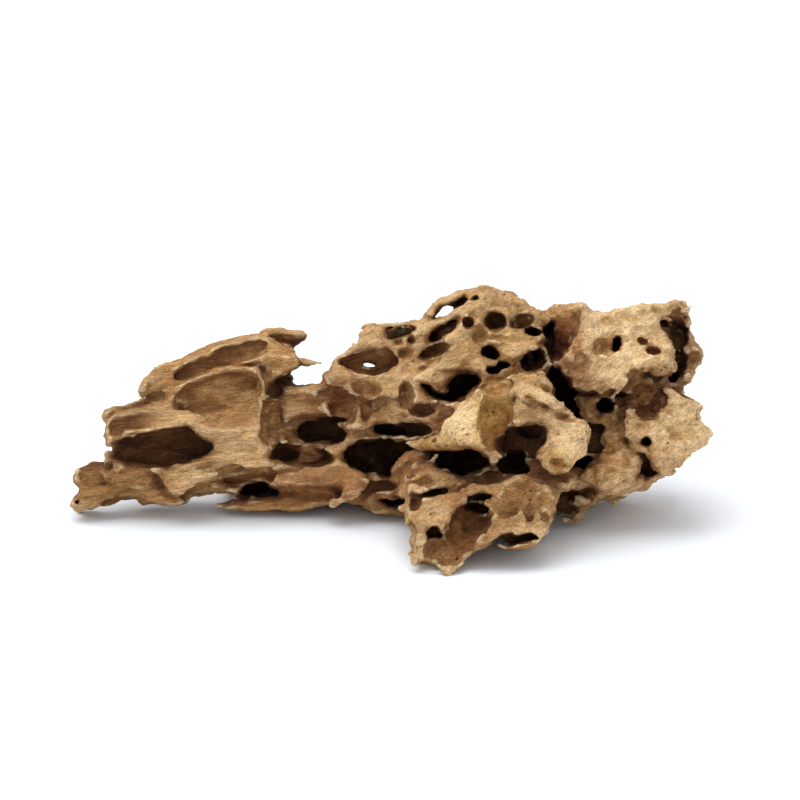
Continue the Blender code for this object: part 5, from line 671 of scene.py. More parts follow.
# Shallow scoops in the surface: across, up, radius across, radius up, depth, roll.
SCOOPS = [
    (-88, 78, 12, 4, 2.2, 10), (-72, 78, 9, 7, 1.8, 0), (-76, 88, 12, 5, 2, 8), (-67, 72, 6, 4, 1.2, 0),
    (-78, 61, 12, 3, 1.2, 4), (-66, 61, 4.5, 4, 1.2, 0), (-70, 51.6, 10, 2.2, 1.2, 2),
    (-92, 50, 7, 2.4, 1, 15), (-120, 70, 8, 3, 1.6, 8), (-105, 75, 8, 3.4, 1.4, 10),
    (-112, 61, 12, 3.4, 1.8, 4), (-98, 59, 9, 4, 1.8, -6), (-124, 57.5, 8, 2.6, 1.4, 0),
    (-120, 46.5, 8, 2.4, 1.4, -2), (-136, 48.6, 7, 1.8, 1, 8), (-140, 34.5, 8, 1.6, 1, 8),
    (-124, 38, 7, 1.4, 1, 4), (-112, 37.3, 4, 2.2, 1, 0), (-108, 33.3, 7, 1.1, 0.8, 4),
    (-110, 90, 6, 2.6, 1.6, 40), (-96, 93.5, 8, 2.6, 1.4, 25), (-80, 99.5, 9, 3, 1.6, 18),
    (-66, 105.5, 7, 3, 1.4, 15), (-54, 97, 4, 2.4, 1.4, 10), (-74, 43.3, 8, 1.5, 1.2, 8),
    (-62, 45.8, 5, 1.3, 1.2, 5), (-55, 31.4, 16, 2.4, 1.4, 3), (-36, 34, 10, 1.8, 1.2, 5),
    (-48, 44.6, 12, 1.8, 1.2, 2), (-24, 46, 7, 2.8, 1.4, -10), (-22, 34.5, 5, 1.6, 1.2, 8),
    (-16, 41, 5, 2.6, 1.4, 0), (-5, 40, 8, 2.8, 2.4, 0), (-26, 64.5, 4, 2, 1, 0),
    (-43, 54, 10, 3, 1.8, -4), (-42, 81, 9, 3, 1.6, -10), (-30, 84, 5, 4.5, 1.8, 20),
    (-24, 76, 5, 5, 2, 0), (-36, 74.5, 7, 1.6, 1.2, 0), (-12, 86, 6.5, 3.6, 1.6, -15),
    (-3, 88, 4.5, 2.6, 1.4, 10), (7, 91, 5, 2.2, 1.4, 25), (6, 80, 4.5, 3.4, 1.8, 0),
    (14, 79, 3.6, 2.4, 1.6, 0), (16, 73, 6, 1.8, 1.6, 0), (4, 73, 4, 1.4, 1.2, 0),
    (-6, 99, 9, 3.4, 2, 5), (-20, 106, 6, 1.8, 1.2, 25), (-11, 111, 4.6, 3.4, 1.4, 20),
    (-8, 107.4, 5, 1.4, 1, 10), (16, 112.6, 4, 1.6, 1.2, 30), (12, 108, 3.4, 2, 1.4, 30),
    (28, 105.3, 4, 1.8, 1.2, 35), (30, 98, 8, 4.4, 1.6, 25), (40, 104, 3.4, 4, 1.4, 0),
    (34, 125.4, 3, 2, 1.4, 20), (38, 121, 2.2, 3.6, 1.2, -10), (48, 128.2, 6, 2, 1.2, 5),
    (58.5, 124.5, 3.6, 2.6, 1.4, -30), (62, 113, 5, 1.8, 1.6, 0), (68, 116, 3.6, 2.2, 1.4, 10),
    (57, 119.5, 2.2, 4, 1.2, 0), (40, 116.5, 1.8, 3.4, 1, 0), (64.5, 109.7, 4.4, 1.4, 1.4, 0),
    (52, 89.5, 5, 2.6, 1.6, 0), (66, 89.6, 5, 1.8, 1.4, -8), (64, 83.6, 5, 2, 1, -20),
    (74, 79, 4, 1.3, 1, -15), (62, 74, 5, 2.6, 1.4, 10), (71, 72, 3.6, 1.8, 1.2, 0),
    (30.5, 69, 4, 4, 1.2, 0), (36, 62.5, 3.4, 2.8, 1.2, 0), (34, 77, 3.4, 2.2, 1, 30),
    (18, 62, 6, 1.5, 0.9, 8), (23, 77.6, 3.6, 1.4, 1.2, -20), (84, 67.5, 3.4, 2.2, 1.2, 0),
    (80, 59, 3.4, 3.6, 1.4, 0), (86.6, 60.4, 2.6, 2.2, 1, 0), (76, 64.6, 2.4, 2.4, 1.2, 0),
    (72, 50.4, 2.6, 2, 1, 0), (78, 50.6, 3, 2.2, 1.2, 0), (20, 29, 3.4, 4.4, 1.4, 15),
    (22, 13, 4.4, 4.6, 1.6, -40), (30, 21, 3.2, 4, 1.4, 0), (40, 24, 5, 3.4, 1.6, 25),
    (36, 10, 3, 5.4, 1, -42), (43, 17.4, 2.4, 5, 1, -42), (11, 8, 2.2, 1.6, 0.9, 0),
    (11, 22.6, 2.4, 4, 1.2, 0), (24, 39, 5, 1.4, 1.4, 12), (41, 44.6, 6, 1.8, 1.4, 10),
    (52, 31, 2.6, 5, 1.4, -10), (56.5, 33, 2.3, 7.5, 2.2, -14), (63, 30, 2.5, 8, 2.4, 2),
    (69.6, 29, 2.2, 7, 2.2, 14), (60, 40, 4, 1.8, 1.4, 0), (53, 16.4, 3.6, 1.6, 1.4, 0),
    (52, 23.4, 2.2, 1.6, 0.8, 0), (20, 50, 5, 3, 2, 0), (8, 48, 2.6, 4.4, 1.8, 20),
    (16, 44, 3.4, 3.4, 2.2, 0), (33, 51, 6, 2.6, 2, 0), (70, 43.5, 4, 2.2, 1.6, 0),
    (80, 44, 4.4, 2, 1.8, 0), (78, 90, 2, 3.4, 1.6, 0), (88, 97, 4, 4.8, 2, 0),
    (86, 106, 2.6, 3.4, 1.6, 0), (90, 89.4, 4.4, 2, 1.2, 0), (101, 97, 4.6, 4.6, 1.4, 20),
    (108, 92.6, 3, 3, 1.2, 0), (112, 104.6, 3.4, 3.4, 1.2, 0), (91, 117, 3.4, 3.2, 1.4, 0),
    (100, 117, 4.4, 2.4, 1.2, 0), (108, 120, 3.6, 1.8, 1, 0), (116, 121.6, 4.4, 2, 1.2, 0),
    (124, 122.6, 3.6, 1.8, 1, 0), (133, 123.6, 4, 1.8, 1.4, 0), (122, 109, 3, 3.4, 1.4, 0),
    (106, 101, 2.4, 2.4, 0.9, 0), (124, 96, 3, 2, 1, 0), (82, 122, 3.6, 1.8, 1.4, 0),
    (74, 121.4, 3.6, 1.8, 1.4, 0), (139, 101, 2.6, 2.2, 1.4, 0), (138, 93, 2.2, 3, 1.4, 0),
    (140, 107, 2.2, 2.4, 1.2, 0), (131, 83, 4.4, 2.2, 1.2, 10), (137, 78.6, 4.4, 1.6, 1, 0),
    (133, 75, 5, 2.2, 1.2, 0), (126, 72, 3.4, 3, 1.2, 0), (116, 67.6, 4.4, 2.6, 1.4, 0),
    (125, 62, 3.4, 4, 1.2, 0), (133, 65, 4.4, 3, 1.4, 10), (142, 66, 3.4, 2.4, 1.2, 0),
    (127, 53, 2.8, 4, 1.2, 0), (137, 58, 3.4, 2, 1, 30), (111, 68, 2.2, 2.6, 1, 0),
    (96, 76, 3, 4.4, 1.6, 0), (104, 67, 3.4, 4, 1.6, 0), (101, 58, 3, 3.4, 1.6, 0),
    (92, 47, 3.6, 2.6, 1.4, 0), (102, 46.6, 4.4, 2.2, 1.6, 0), (110, 51, 4, 2.6, 1.8, 0),
    (110, 43, 4, 1.6, 1.4, 10), (120, 44.6, 3.4, 2, 1.6, 20), (87, 37.4, 2.4, 2, 1, 0),
    (84, 25, 2.4, 1.6, 1, 0), (97, 40, 2, 1.6, 0.9, 0), (86, 60.6, 2, 2, 1.2, 0),
    (93, 62, 2, 4, 1.4, 0),
]

# Cells eaten into the sides that the front view does not show, at seeded places.
CELL_SPREADS = [
    Cells("back_scoops", seed=11, count=60, look=(0, -1, 0), middle=(0, 200, 78),
          half=(145, 0, 48), radii=(6, 13), dig=0.5, long=1),
    Cells("back_pits", seed=12, count=50, look=(0, -1, 0), middle=(0, 200, 78),
          half=(145, 0, 48), radii=(2.5, 5.5), dig=0.95, long=1.7),
    Cells("top_scoops", seed=13, count=60, look=(0, -0.1, -1), middle=(0, 88, 200),
          half=(145, 36, 0), radii=(4, 10), dig=0.5, long=1),
    Cells("top_pits", seed=17, count=30, look=(0, -0.1, -1), middle=(0, 88, 200),
          half=(145, 36, 0), radii=(2.2, 5), dig=0.95, long=1.6),
    Cells("under_scoops", seed=14, count=60, look=(0, 0.1, 1), middle=(0, 65, -100),
          half=(145, 60, 0), radii=(5, 10), dig=0.5, long=1),
    Cells("right_end_cells", seed=15, count=14, look=(-1, 0, 0), middle=(250, 80, 80),
          half=(0, 25, 40), radii=(3, 7), dig=0.6, long=1),
    Cells("left_end_cells", seed=16, count=10, look=(1, 0, 0), middle=(-250, 84, 60),
          half=(0, 12, 25), radii=(3, 5), dig=0.5, long=1),
]

# Where the wood is tinted, by finish: place (across, up), radii (across, up), strength.
TINTS = {
    "bleached": [
        Tint((33, 71), (10, 11), 1.0), Tint((83, 62), (9, 15), 0.8), Tint((68, 85), (13, 5), 0.8),
        Tint((57, 104), (12, 5), 0.7), Tint((22, 92), (16, 9), 0.6), Tint((106, 107), (26, 18), 1.0),
        Tint((132, 66), (20, 20), 0.9), Tint((20, 28), (6, 7), 0.5), Tint((60, 21), (10, 5), 0.5),
        Tint((103, 52), (16, 20), 0.8), Tint((40, 116), (26, 12), 0.4), Tint((-112, 72), (24, 6), 0.25),
        Tint((-98, 45), (12, 7), 0.35), Tint((-72, 58), (14, 8), 0.2),
    ],
    "stained": [
        Tint((-88, 98), (34, 11), 0.7), Tint((-52, 98), (10, 14), 0.7), Tint((-130, 42), (30, 12), 1.0),
        Tint((-112, 59), (28, 8), 0.9), Tint((-50, 33), (34, 7), 1.0), Tint((57, 14), (13, 5), 1.0),
        Tint((-8, 38), (20, 10), 0.5), Tint((60, 32), (16, 14), 0.7), Tint((30, 26), (22, 20), 0.6),
        Tint((81, 106), (7, 16), 0.8), Tint((86, 94), (7, 8), 0.5), Tint((84, 30), (12, 9), 0.6),
        Tint((46, 30), (22, 18), 0.5), Tint((135, 100), (9, 18), 0.5), Tint((8, 48), (10, 10), 0.5),
    ],
    "ochre": [
        Tint((-80, 84), (22, 11), 0.3), Tint((47, 72), (9, 18), 1.0), Tint((45, 110), (30, 18), 0.35),
        Tint((60, 90), (18, 8), 0.4), Tint((76, 52), (8, 6), 0.7), Tint((16, 60), (14, 5), 0.9),
        Tint((37, 22), (12, 12), 0.4),
    ],
    "rust": [
        Tint((-22, 80), (14, 10), 0.8), Tint((-82, 85), (20, 10), 0.35), Tint((-14, 98), (16, 6), 0.5),
        Tint((81, 108), (7, 15), 1.0), Tint((6, 48), (10, 10), 0.7), Tint((37, 27), (11, 9), 0.5),
        Tint((119, 81), (9, 10), 0.7), Tint((-112, 59), (26, 8), 0.5), Tint((83, 97), (8, 10), 0.6),
        Tint((-30, 40), (36, 11), 0.6), Tint((56, 60), (8, 8), 0.5), Tint((98, 56), (10, 14), 0.2),
        Tint((118, 48), (22, 14), 0.4), Tint((44, 14), (18, 12), 0.5),
    ],
    "grey": [
        Tint((19, 103), (10, 6), 0.9), Tint((-128, 78), (16, 7), 0.8), Tint((-136, 42), (24, 12), 0.9),
        Tint((60, 34), (11, 11), 0.7), Tint((-52, 90), (8, 14), 0.5), Tint((44, 42), (8, 5), 0.4),
    ],
}


def add_object(name, mesh, group):
    obj = bpy.data.objects.new(name, mesh)
    group.objects.link(obj)
    return obj


def curve_mesh(name, curve):
    """The mesh of a curve with its loose caps welded on."""
    obj = add_object(name, curve, bpy.context.scene.collection)
    evaluated = obj.evaluated_get(bpy.context.evaluated_depsgraph_get())
    mesh = bpy.data.meshes.new_from_object(evaluated)
    bpy.data.objects.remove(obj)
    bpy.data.curves.remove(curve)
    shape = bmesh.new()
    shape.from_mesh(mesh)
    bmesh.ops.remove_doubles(shape, verts=shape.verts, dist=WELD)
    shape.to_mesh(mesh)
    shape.free()
    return mesh


def ball_mesh(centre, radii, roll=0, fineness=4):
    """An ellipsoid at (across, up, deep), rolled in the view by degrees."""
    across, up, deep = centre
    bpy.ops.mesh.primitive_ico_sphere_add(
        subdivisions=fineness, radius=MM, location=(across * MM, deep * MM, up * MM),
        rotation=(0, -math.radians(roll), 0), scale=(radii[0], radii[2], radii[1]))
    ball = bpy.context.object
    bpy.ops.object.transform_apply(location=True, rotation=True, scale=True)
    mesh = ball.data
    bpy.data.objects.remove(ball)
    return mesh


def slab_mesh(slab):
    """A flat outline with rounded edges, stood up in the view and leaned back."""
    curve = bpy.data.curves.new(slab.name, "CURVE")
    curve.dimensions = "2D"
    curve.fill_mode = "BOTH"
    spline = curve.splines.new("POLY")
    spline.points.add(len(slab.outline) - 1)
    for point, (across, up) in zip(spline.points, slab.outline):
        point.co = (across * MM, up * MM, 0, 1)
    spline.use_cyclic_u = True
    curve.extrude = ((slab.back - slab.front) / 2 - slab.rounding) * MM
    curve.bevel_depth = slab.rounding * MM
    curve.bevel_resolution = 3
    curve.offset = -slab.rounding * MM
    mesh = curve_mesh(slab.name, curve)
    across = sum(point[0] for point in slab.outline) / len(slab.outline)
    up = sum(point[1] for point in slab.outline) / len(slab.outline)
    pivot = Matrix.Translation(Vector((across, 0, up)) * MM)
    stand = Matrix.Rotation(math.radians(90), 4, "X")
    lean = Matrix(((1, 0, 0, 0), (slab.lean_right, 1, slab.lean_up, 0), (0, 0, 1, 0), (0, 0, 0, 1)))
    place = Matrix.Translation(Vector((0, (slab.front + slab.back) / 2, 0)) * MM)
    mesh.transform(place @ pivot @ lean @ pivot.inverted() @ stand)
    return mesh


def window_mesh(window):
    """The cutter of an opening, from in front of everything to its floor."""
    return slab_mesh(Slab(window.name, window.floor - WINDOW_REACH, window.floor, window.rounding,
                          outline=window.outline))


def hollow_mesh(hollow):
    across, up = hollow.centre
    return ball_mesh((across, up, hollow.floor - hollow.radii[2]), hollow.radii, hollow.roll)


def strand_meshes(name, points):
    """A tapering round strand through (across, up, deep, radius), with ball ends."""
    curve = bpy.data.curves.new(name, "CURVE")
    curve.dimensions = "3D"
    curve.bevel_depth = MM
    curve.bevel_resolution = 3
    curve.use_fill_caps = True
    spline = curve.splines.new("BEZIER")
    spline.resolution_u = 6
    spline.bezier_points.add(len(points) - 1)
    for point, (across, up, deep, radius) in zip(spline.bezier_points, points):
        point.co = Vector((across, deep, up)) * MM
        point.radius = radius
        point.handle_left_type = point.handle_right_type = "AUTO"
    ends = [ball_mesh(point[:3], (point[3],) * 3, fineness=3) for point in (points[0], points[-1])]
    return [curve_mesh(name, curve)] + ends


def joined(name, meshes, group):
    """One object that holds all the meshes, which are used up."""
    objects = [add_object(name, mesh, group) for mesh in meshes]
    bpy.ops.object.select_all(action="DESELECT")
    for obj in objects:
        obj.select_set(True)
    bpy.context.view_layer.objects.active = objects[0]
    bpy.ops.object.join()
    return objects[0]


def apply_modifiers(obj):
    bpy.ops.object.select_all(action="DESELECT")
    obj.select_set(True)
    bpy.context.view_layer.objects.active = obj
    for modifier in list(obj.modifiers):
        bpy.ops.object.modifier_apply(modifier=modifier.name)


def mesh_arrays(mesh):
    """The places, normals and edges of a mesh, the edges sorted so that sums come out alike."""
    places = np.empty(len(mesh.vertices) * 3)
    normals = np.empty(len(mesh.vertices) * 3)
    edges = np.empty(len(mesh.edges) * 2, dtype=np.int64)
    mesh.vertices.foreach_get("co", places)
    mesh.vertex_normals.foreach_get("vector", normals)
    mesh.edges.foreach_get("vertices", edges)
    edges = np.unique(np.sort(edges.reshape(-1, 2), axis=1), axis=0)
    return places.reshape(-1, 3), normals.reshape(-1, 3), edges


def eased_once(values, edges):
    """Each vertex's value averaged with its neighbours'."""
    count = len(values)
    first, second = edges.T
    total = np.bincount(first, values[second], count) + np.bincount(second, values[first], count)
    return (values + total) / (1 + np.bincount(edges.ravel(), minlength=count))


def fuse(obj, smoothing=0):
    """Melts overlapping meshes into one skin, then rounds it by some passes."""
    remesh = obj.modifiers.new("Fuse", "REMESH")
    remesh.mode = "VOXEL"
    remesh.voxel_size = GRAIN * MM
    apply_modifiers(obj)
    places, _, edges = mesh_arrays(obj.data)
    for _ in range(smoothing):
        means = np.column_stack([eased_once(axis, edges) for axis in places.T])
        places += SMOOTHING * (means - places)
    obj.data.vertices.foreach_set("co", places.ravel())
    obj.data.update()


def displace(obj, size, height, level=0.5, group=""):
    """Pushes the surface in and out by a cloudy pattern of a size; at level it stays."""
    texture = bpy.data.textures.new("clouds", "CLOUDS")
    texture.noise_scale = size * MM
    texture.noise_depth = 2
    modifier = obj.modifiers.new("Displace", "DISPLACE")
    modifier.texture = texture
    modifier.texture_coords = "GLOBAL"
    modifier.strength = height * MM
    modifier.mid_level = level
    modifier.vertex_group = group
    apply_modifiers(obj)
    bpy.data.textures.remove(texture)


def cut(obj, cutter):
    """Takes the cutter out of the object and removes it."""
    boolean = obj.modifiers.new("Cut", "BOOLEAN")
    boolean.operation = "DIFFERENCE"
    boolean.object = cutter
    boolean.solver = SOLVER
    apply_modifiers(obj)
    bpy.data.objects.remove(cutter)


def skin(obj):
    """A tree of the object's faces, for rays, built in one order though a cut shuffles the faces."""
    faces = []
    for face in obj.data.polygons:
        corners = list(face.vertices)
        start = corners.index(min(corners))
        faces.append(corners[start:] + corners[:start])
    faces.sort()
    return BVHTree.FromPolygons([vertex.co for vertex in obj.data.vertices], faces)


def eased(values, edges, passes):
    for _ in range(passes):
        values = eased_once(values, edges)
    return values


def hidden_weights(obj, reach):
    """0 where the front view shows the surface, growing to 1 away from it."""
    tree = skin(obj)
    places, normals, edges = mesh_arrays(obj.data)
    weights = np.ones(len(places))
    for index in np.nonzero(normals[:, 1] < FACING)[0]:
        start = Vector(places[index]) + Vector(normals[index]) * RAY_LIFT
        if tree.ray_cast(start, TO_VIEWER)[0] is None:
            weights[index] = 0
    for _ in range(round(reach / GRAIN)):
        weights = np.minimum(weights, eased_once(weights, edges))
    return weights


def add_lumps(obj, reach, lumps):
    """Makes the hidden sides lumpy: lumps holds each pattern's size, height and level."""
    weights = hidden_weights(obj, reach)
    group = obj.vertex_groups.new(name="hidden")
    steps = np.round(weights * WEIGHT_STEPS).astype(int)
    for step in range(1, WEIGHT_STEPS + 1):
        group.add(np.nonzero(steps == step)[0].tolist(), step / WEIGHT_STEPS, "REPLACE")
    for size, height, level in lumps:
        displace(obj, size, height, level, group.name)
    obj.vertex_groups.clear()


def shell_pattern(place, size):
    """Round-bottomed cells that meet in sharp ridges: from 0 in a cell's middle to 1 on a ridge."""
    spot = Vector((place.x / GRAIN_STRETCH, place.y, place.z)) / size
    spot += noise.noise_vector(spot * CELL_WARP[0]) * CELL_WARP[1]
    return min(1, noise.voronoi(spot)[0][0] / CELL_RIM) ** 2


def shell_heights(places, shells):
    """The sum of the cells' patterns at places in millimetres, as heights around zero."""
    return np.array([sum(lift * (shell_pattern(Vector(place), size) - SHELL_LEVEL) for size, lift in shells)
                     for place in places])


def roughen(wood):
    """Weathers every side: the front only in and out of the view, the others along their normals.

    The edges of the front's plates are drawn back too, so that the plates are domed.
    """
    places, normals, edges = mesh_arrays(wood.data)
    hidden = hidden_weights(wood, reach=ROUGHEN_REACH)
    heights = shell_heights(places / MM, SHELLS)
    passes = round((EDGE_ROUNDING / GRAIN) ** 2)
    facing = eased(-normals[:, 1], edges, passes)
    drawn_back = EDGE_DROP * np.clip(1 - facing, 0, 0.5)
    shifts = normals * (hidden * (heights * BACK_SHARE - BACK_SHRINK))[:, None]
    shifts[:, 1] += (1 - hidden) * (drawn_back - heights * np.clip(-normals[:, 1], 0, 1))
    wood.data.vertices.foreach_set("co", (places + shifts * MM).ravel())


def front_depth(tree, across, up, spread):
    """How deep the first surface lies at a place in the view, or None past the edge."""
    depths = []
    for side, rise in ((0, 0), (spread, 0), (-spread, 0), (0, spread), (0, -spread)):
        place = tree.ray_cast(Vector((across + side, -WINDOW_REACH, up + rise)) * MM, -TO_VIEWER)[0]
        if place is not None:
            depths.append(place.y / MM)
    return min(depths, default=None)


def scoop_meshes(tree, scoop):
    """A flat ball that dips into the surface by the scoop's depth."""
    across, up, radius_across, radius_up, depth, roll = scoop
    surface = front_depth(tree, across, up, SCOOP_PROBE)
    if surface is None:
        return []
    radius_deep = max(min(radius_across, radius_up), depth * SCOOP_ROUNDNESS)
    centre = (across, up, surface + depth - radius_deep)
    radii = (radius_across * SCOOP_SPREAD, radius_up * SCOOP_SPREAD, radius_deep)
    return [ball_mesh(centre, radii, roll, fineness=3)]


def cell_meshes(tree, cells):
    """Long rounded cells in the side that a seeded spread of rays meets."""
    chance = random.Random(cells.seed)
    look = Vector(cells.look).normalized()
    meshes = []
    for _ in range(cells.count):
        start = [mid + chance.uniform(-half, half) for mid, half in zip(cells.middle, cells.half)]
        start = Vector(start) * MM
        stretch = chance.uniform(*CELL_STRETCH)
        radius = cells.radii[0] * (cells.radii[1] / cells.radii[0]) ** chance.random()
        roll = chance.uniform(-CELL_ROLL, CELL_ROLL)
        squash = chance.uniform(*CELL_SQUASH)
        place, normal = tree.ray_cast(start, look)[:2]
        if place is None or (look.x == 0 and place.y < FACE_DEPTH * MM):
            continue
        depth = radius * (cells.long - 1 + cells.dig)
        behind = tree.ray_cast(place + look * depth * MM, look)[3]
        if behind is None or behind < depth * MM:
            continue
        centre = place / MM + (normal - look).normalized() * radius * (1 - cells.dig)
        radii = [radius * stretch, radius * squash, radius]
        radii[2 if abs(look.y) > abs(look.z) else 1] *= cells.long
        meshes.append(ball_mesh((centre.x, centre.z, centre.y), radii, roll, fineness=3))
    return meshes


def drop_crumbs(obj):
    """Removes the small loose pieces that cutting left, and keeps the lump."""
    shape = bmesh.new()
    shape.from_mesh(obj.data)
    unseen = set(shape.verts)
    pieces = []
    while unseen:
        stack = [unseen.pop()]
        piece = []
        while stack:
            vertex = stack.pop()
            piece.append(vertex)
            for edge in vertex.link_edges:
                other = edge.other_vert(vertex)
                if other in unseen:
                    unseen.remove(other)
                    stack.append(other)
        pieces.append(piece)
    pieces.sort(key=len)
    for piece in pieces[:-1]:
        bmesh.ops.delete(shape, geom=piece, context="VERTS")
    shape.to_mesh(obj.data)
    shape.free()


def make_core(parts, cutters):
    """The mass of the lump, with its deep openings cut."""
    meshes = [slab_mesh(slab) for slab in CORE_SLABS]
    meshes += [ball_mesh(lump.centre, lump.radii, lump.roll) for lump in CORE_LUMPS]
    core = joined("core", meshes, parts)
    fuse(core, smoothing=3)
    add_lumps(core, reach=9, lumps=CORE_LUMPINESS)
    fuse(core, smoothing=1)
    meshes = [window_mesh(window) for window in DEEP_WINDOWS]
    meshes += [hollow_mesh(hollow) for hollow in DEEP_HOLLOWS]
    hollows = joined("deep_hollows", meshes, cutters)
    fuse(hollows)
    displace(hollows, *WALL_WAVES)
    cut(core, hollows)
    return core


def make_faces(parts):
    """The blades, ledges and crusts in front of the mass."""
    faces = joined("faces", [slab_mesh(slab) for slab in FACE_SLABS], parts)
    fuse(faces, smoothing=1)
    add_lumps(faces, reach=6, lumps=FACE_LUMPINESS)
    fuse(faces)
    return faces


def carve(wood, cutters):
    """Cuts the hollows of the faces and the cells of the other sides."""
    tree = skin(wood)
    meshes = [window_mesh(window) for window in FACE_WINDOWS]
    meshes += [hollow_mesh(hollow) for hollow in FACE_HOLLOWS]
    for cells in CELL_SPREADS:
        meshes += cell_meshes(tree, cells)
    hollows = joined("face_hollows", meshes, cutters)
    fuse(hollows)
    displace(hollows, *WALL_WAVES)
    cut(wood, hollows)
    cut(wood, joined("through_holes", [window_mesh(window) for window in THROUGH_WINDOWS], cutters))


def dip_scoops(wood, cutters):
    """Dips the small scoops into the surface."""
    tree = skin(wood)
    meshes = []
    for scoop in SCOOPS:
        meshes += scoop_meshes(tree, scoop)
    scoops = joined("scoops", meshes, cutters)
    fuse(scoops)
    cut(wood, scoops)


def make_wood(parts, cutters):
    """The whole lump, as the front view is drawn."""
    core = make_core(parts, cutters)
    faces = make_faces(parts)
    meshes = [core.data, faces.data]
    bpy.data.objects.remove(core)
    bpy.data.objects.remove(faces)
    for strand in STRANDS:
        meshes += strand_meshes(strand.name, strand.points)
    wood = joined("honeycomb_wood", meshes, parts)
    fuse(wood, smoothing=1)
    roughen(wood)
    fuse(wood)
    carve(wood, cutters)
    dip_scoops(wood, cutters)
    fuse(wood)
    drop_crumbs(wood)
    return wood


def share_past(across, span):
    """0 to the left of a span and 1 to the right of it, with an even slope between."""
    start, end = span
    return np.clip((across - start) / (end - start), 0, 1)


def burr_share(across):
    """How pitted the wood is: little on the left, where its long grain runs, and wholly on the right."""
    return BURR_LEAST + (1 - BURR_LEAST) * share_past(across, BURR_SPAN)


def ridge_heights(places):
    """Sharp ridges between rounded scoops, drawn out along the grain, as heights around zero."""
    spots = [Vector((x / GRAIN_STRETCH, y, z)) / RIDGE_SIZE for x, y, z in places]
    pattern = np.array([noise.ridged_multi_fractal(spot, *RIDGE_PATTERN) for spot in spots])
    return RIDGE_HEIGHT * (pattern - RIDGE_LEVEL)


def weather(wood):
    """Fine crust, ridges and fibres on the whole skin."""
    places, normals, _ = mesh_arrays(wood.data)
    across = places[:, 0] / MM
    heights = shell_heights(places / MM, CRUST) * burr_share(across)
    heights += ridge_heights(places / MM) * share_past(across, TORN_SPAN)
    fibres = np.array([noise.fractal(Vector((x / FIBRE_STRETCH, y, z)) / FIBRE_SIZE, 1, 2, 3)
                       for x, y, z in places / MM])
    shifts = normals * (heights + FIBRE_HEIGHT * fibres)[:, None]
    wood.data.vertices.foreach_set("co", (places + shifts * MM).ravel())


def crest_runs(tree, crest):
    """The crest's points on the surface, in runs that break where the depth jumps."""
    spots = []
    for (across, up), (next_across, next_up) in zip(crest, crest[1:]):
        steps = max(1, round(math.hypot(next_across - across, next_up - up) / CREST_SPACING))
        for step in range(steps):
            share = step / steps
            spots.append((across + (next_across - across) * share, up + (next_up - up) * share))
    spots.append(crest[-1])
    runs = [[]]
    for across, up in spots:
        depth = front_depth(tree, across, up, CREST_PROBE)
        if depth is None or (runs[-1] and abs(depth - runs[-1][-1][2]) > DEPTH_JUMP):
            runs.append([])
        if depth is not None:
            runs[-1].append((across, up, depth))
    return [run for run in runs if len(run) >= CREST_LEAST]


def find_crest_points(wood):
    """Points along the crests, on the finished skin."""
    tree = skin(wood)
    runs = [run for crest in CRESTS for run in crest_runs(tree, crest)]
    return [Vector((across, depth, up)) * MM for run in runs for across, up, depth in run]


def away_from(wood, points):
    """How far each vertex is from the nearest of the points, in millimetres."""
    tree = KDTree(len(points))
    for index, point in enumerate(points):
        tree.insert(point, index)
    tree.balance()
    return np.array([tree.find(vertex.co)[2] for vertex in wood.data.vertices]) / MM


def raise_crests(wood, points):
    """Draws the skin out into thin ridges along the crests."""
    places, normals, _ = mesh_arrays(wood.data)
    away = away_from(wood, points)
    facing = np.clip(-normals[:, 1] / CREST_FACING, 0, 1)
    rise = np.clip(1 - away / CREST_REACH, 0, 1) ** CREST_PROFILE
    places[:, 1] -= CREST_HEIGHT * MM * facing * rise
    wood.data.vertices.foreach_set("co", places.ravel())


def level_matrix(wood):
    """Turns the view's tilt out of the lump and centres it over the frame's zero."""
    turn = Matrix.Rotation(-VIEW_TILT, 4, "X")
    places = [turn @ vertex.co for vertex in wood.data.vertices]
    middle = [(min(place[axis] for place in places) + max(place[axis] for place in places)) / 2
              for axis in (0, 1)]
    return Matrix.Translation((-middle[0], -middle[1], 0)) @ turn


def thin_out(wood):
    """Keeps the skin under the most triangles that a piece may have."""
    triangles = sum(len(face.vertices) - 2 for face in wood.data.polygons)
    if triangles > MOST_TRIANGLES:
        decimate = wood.modifiers.new("Thin", "DECIMATE")
        decimate.ratio = MOST_TRIANGLES / triangles
        apply_modifiers(wood)


def cut_flat(wood):
    """Takes off all that lies below the surface that the lump rests on."""
    size = (2 * LENGTH, LENGTH, LENGTH / 4)
    bpy.ops.mesh.primitive_cube_add(size=1, location=(0, 0, -LENGTH / 8), scale=size)
    block = bpy.context.object
    bpy.ops.object.transform_apply(location=True, rotation=True, scale=True)
    cut(wood, block)
    drop_crumbs(wood)


def store(mesh, name, values):
    """Keeps a value for each vertex, for the material to read."""
    attribute = mesh.attributes.new(name, "FLOAT", "POINT")
    attribute.data.foreach_set("value", values.astype(np.float32))


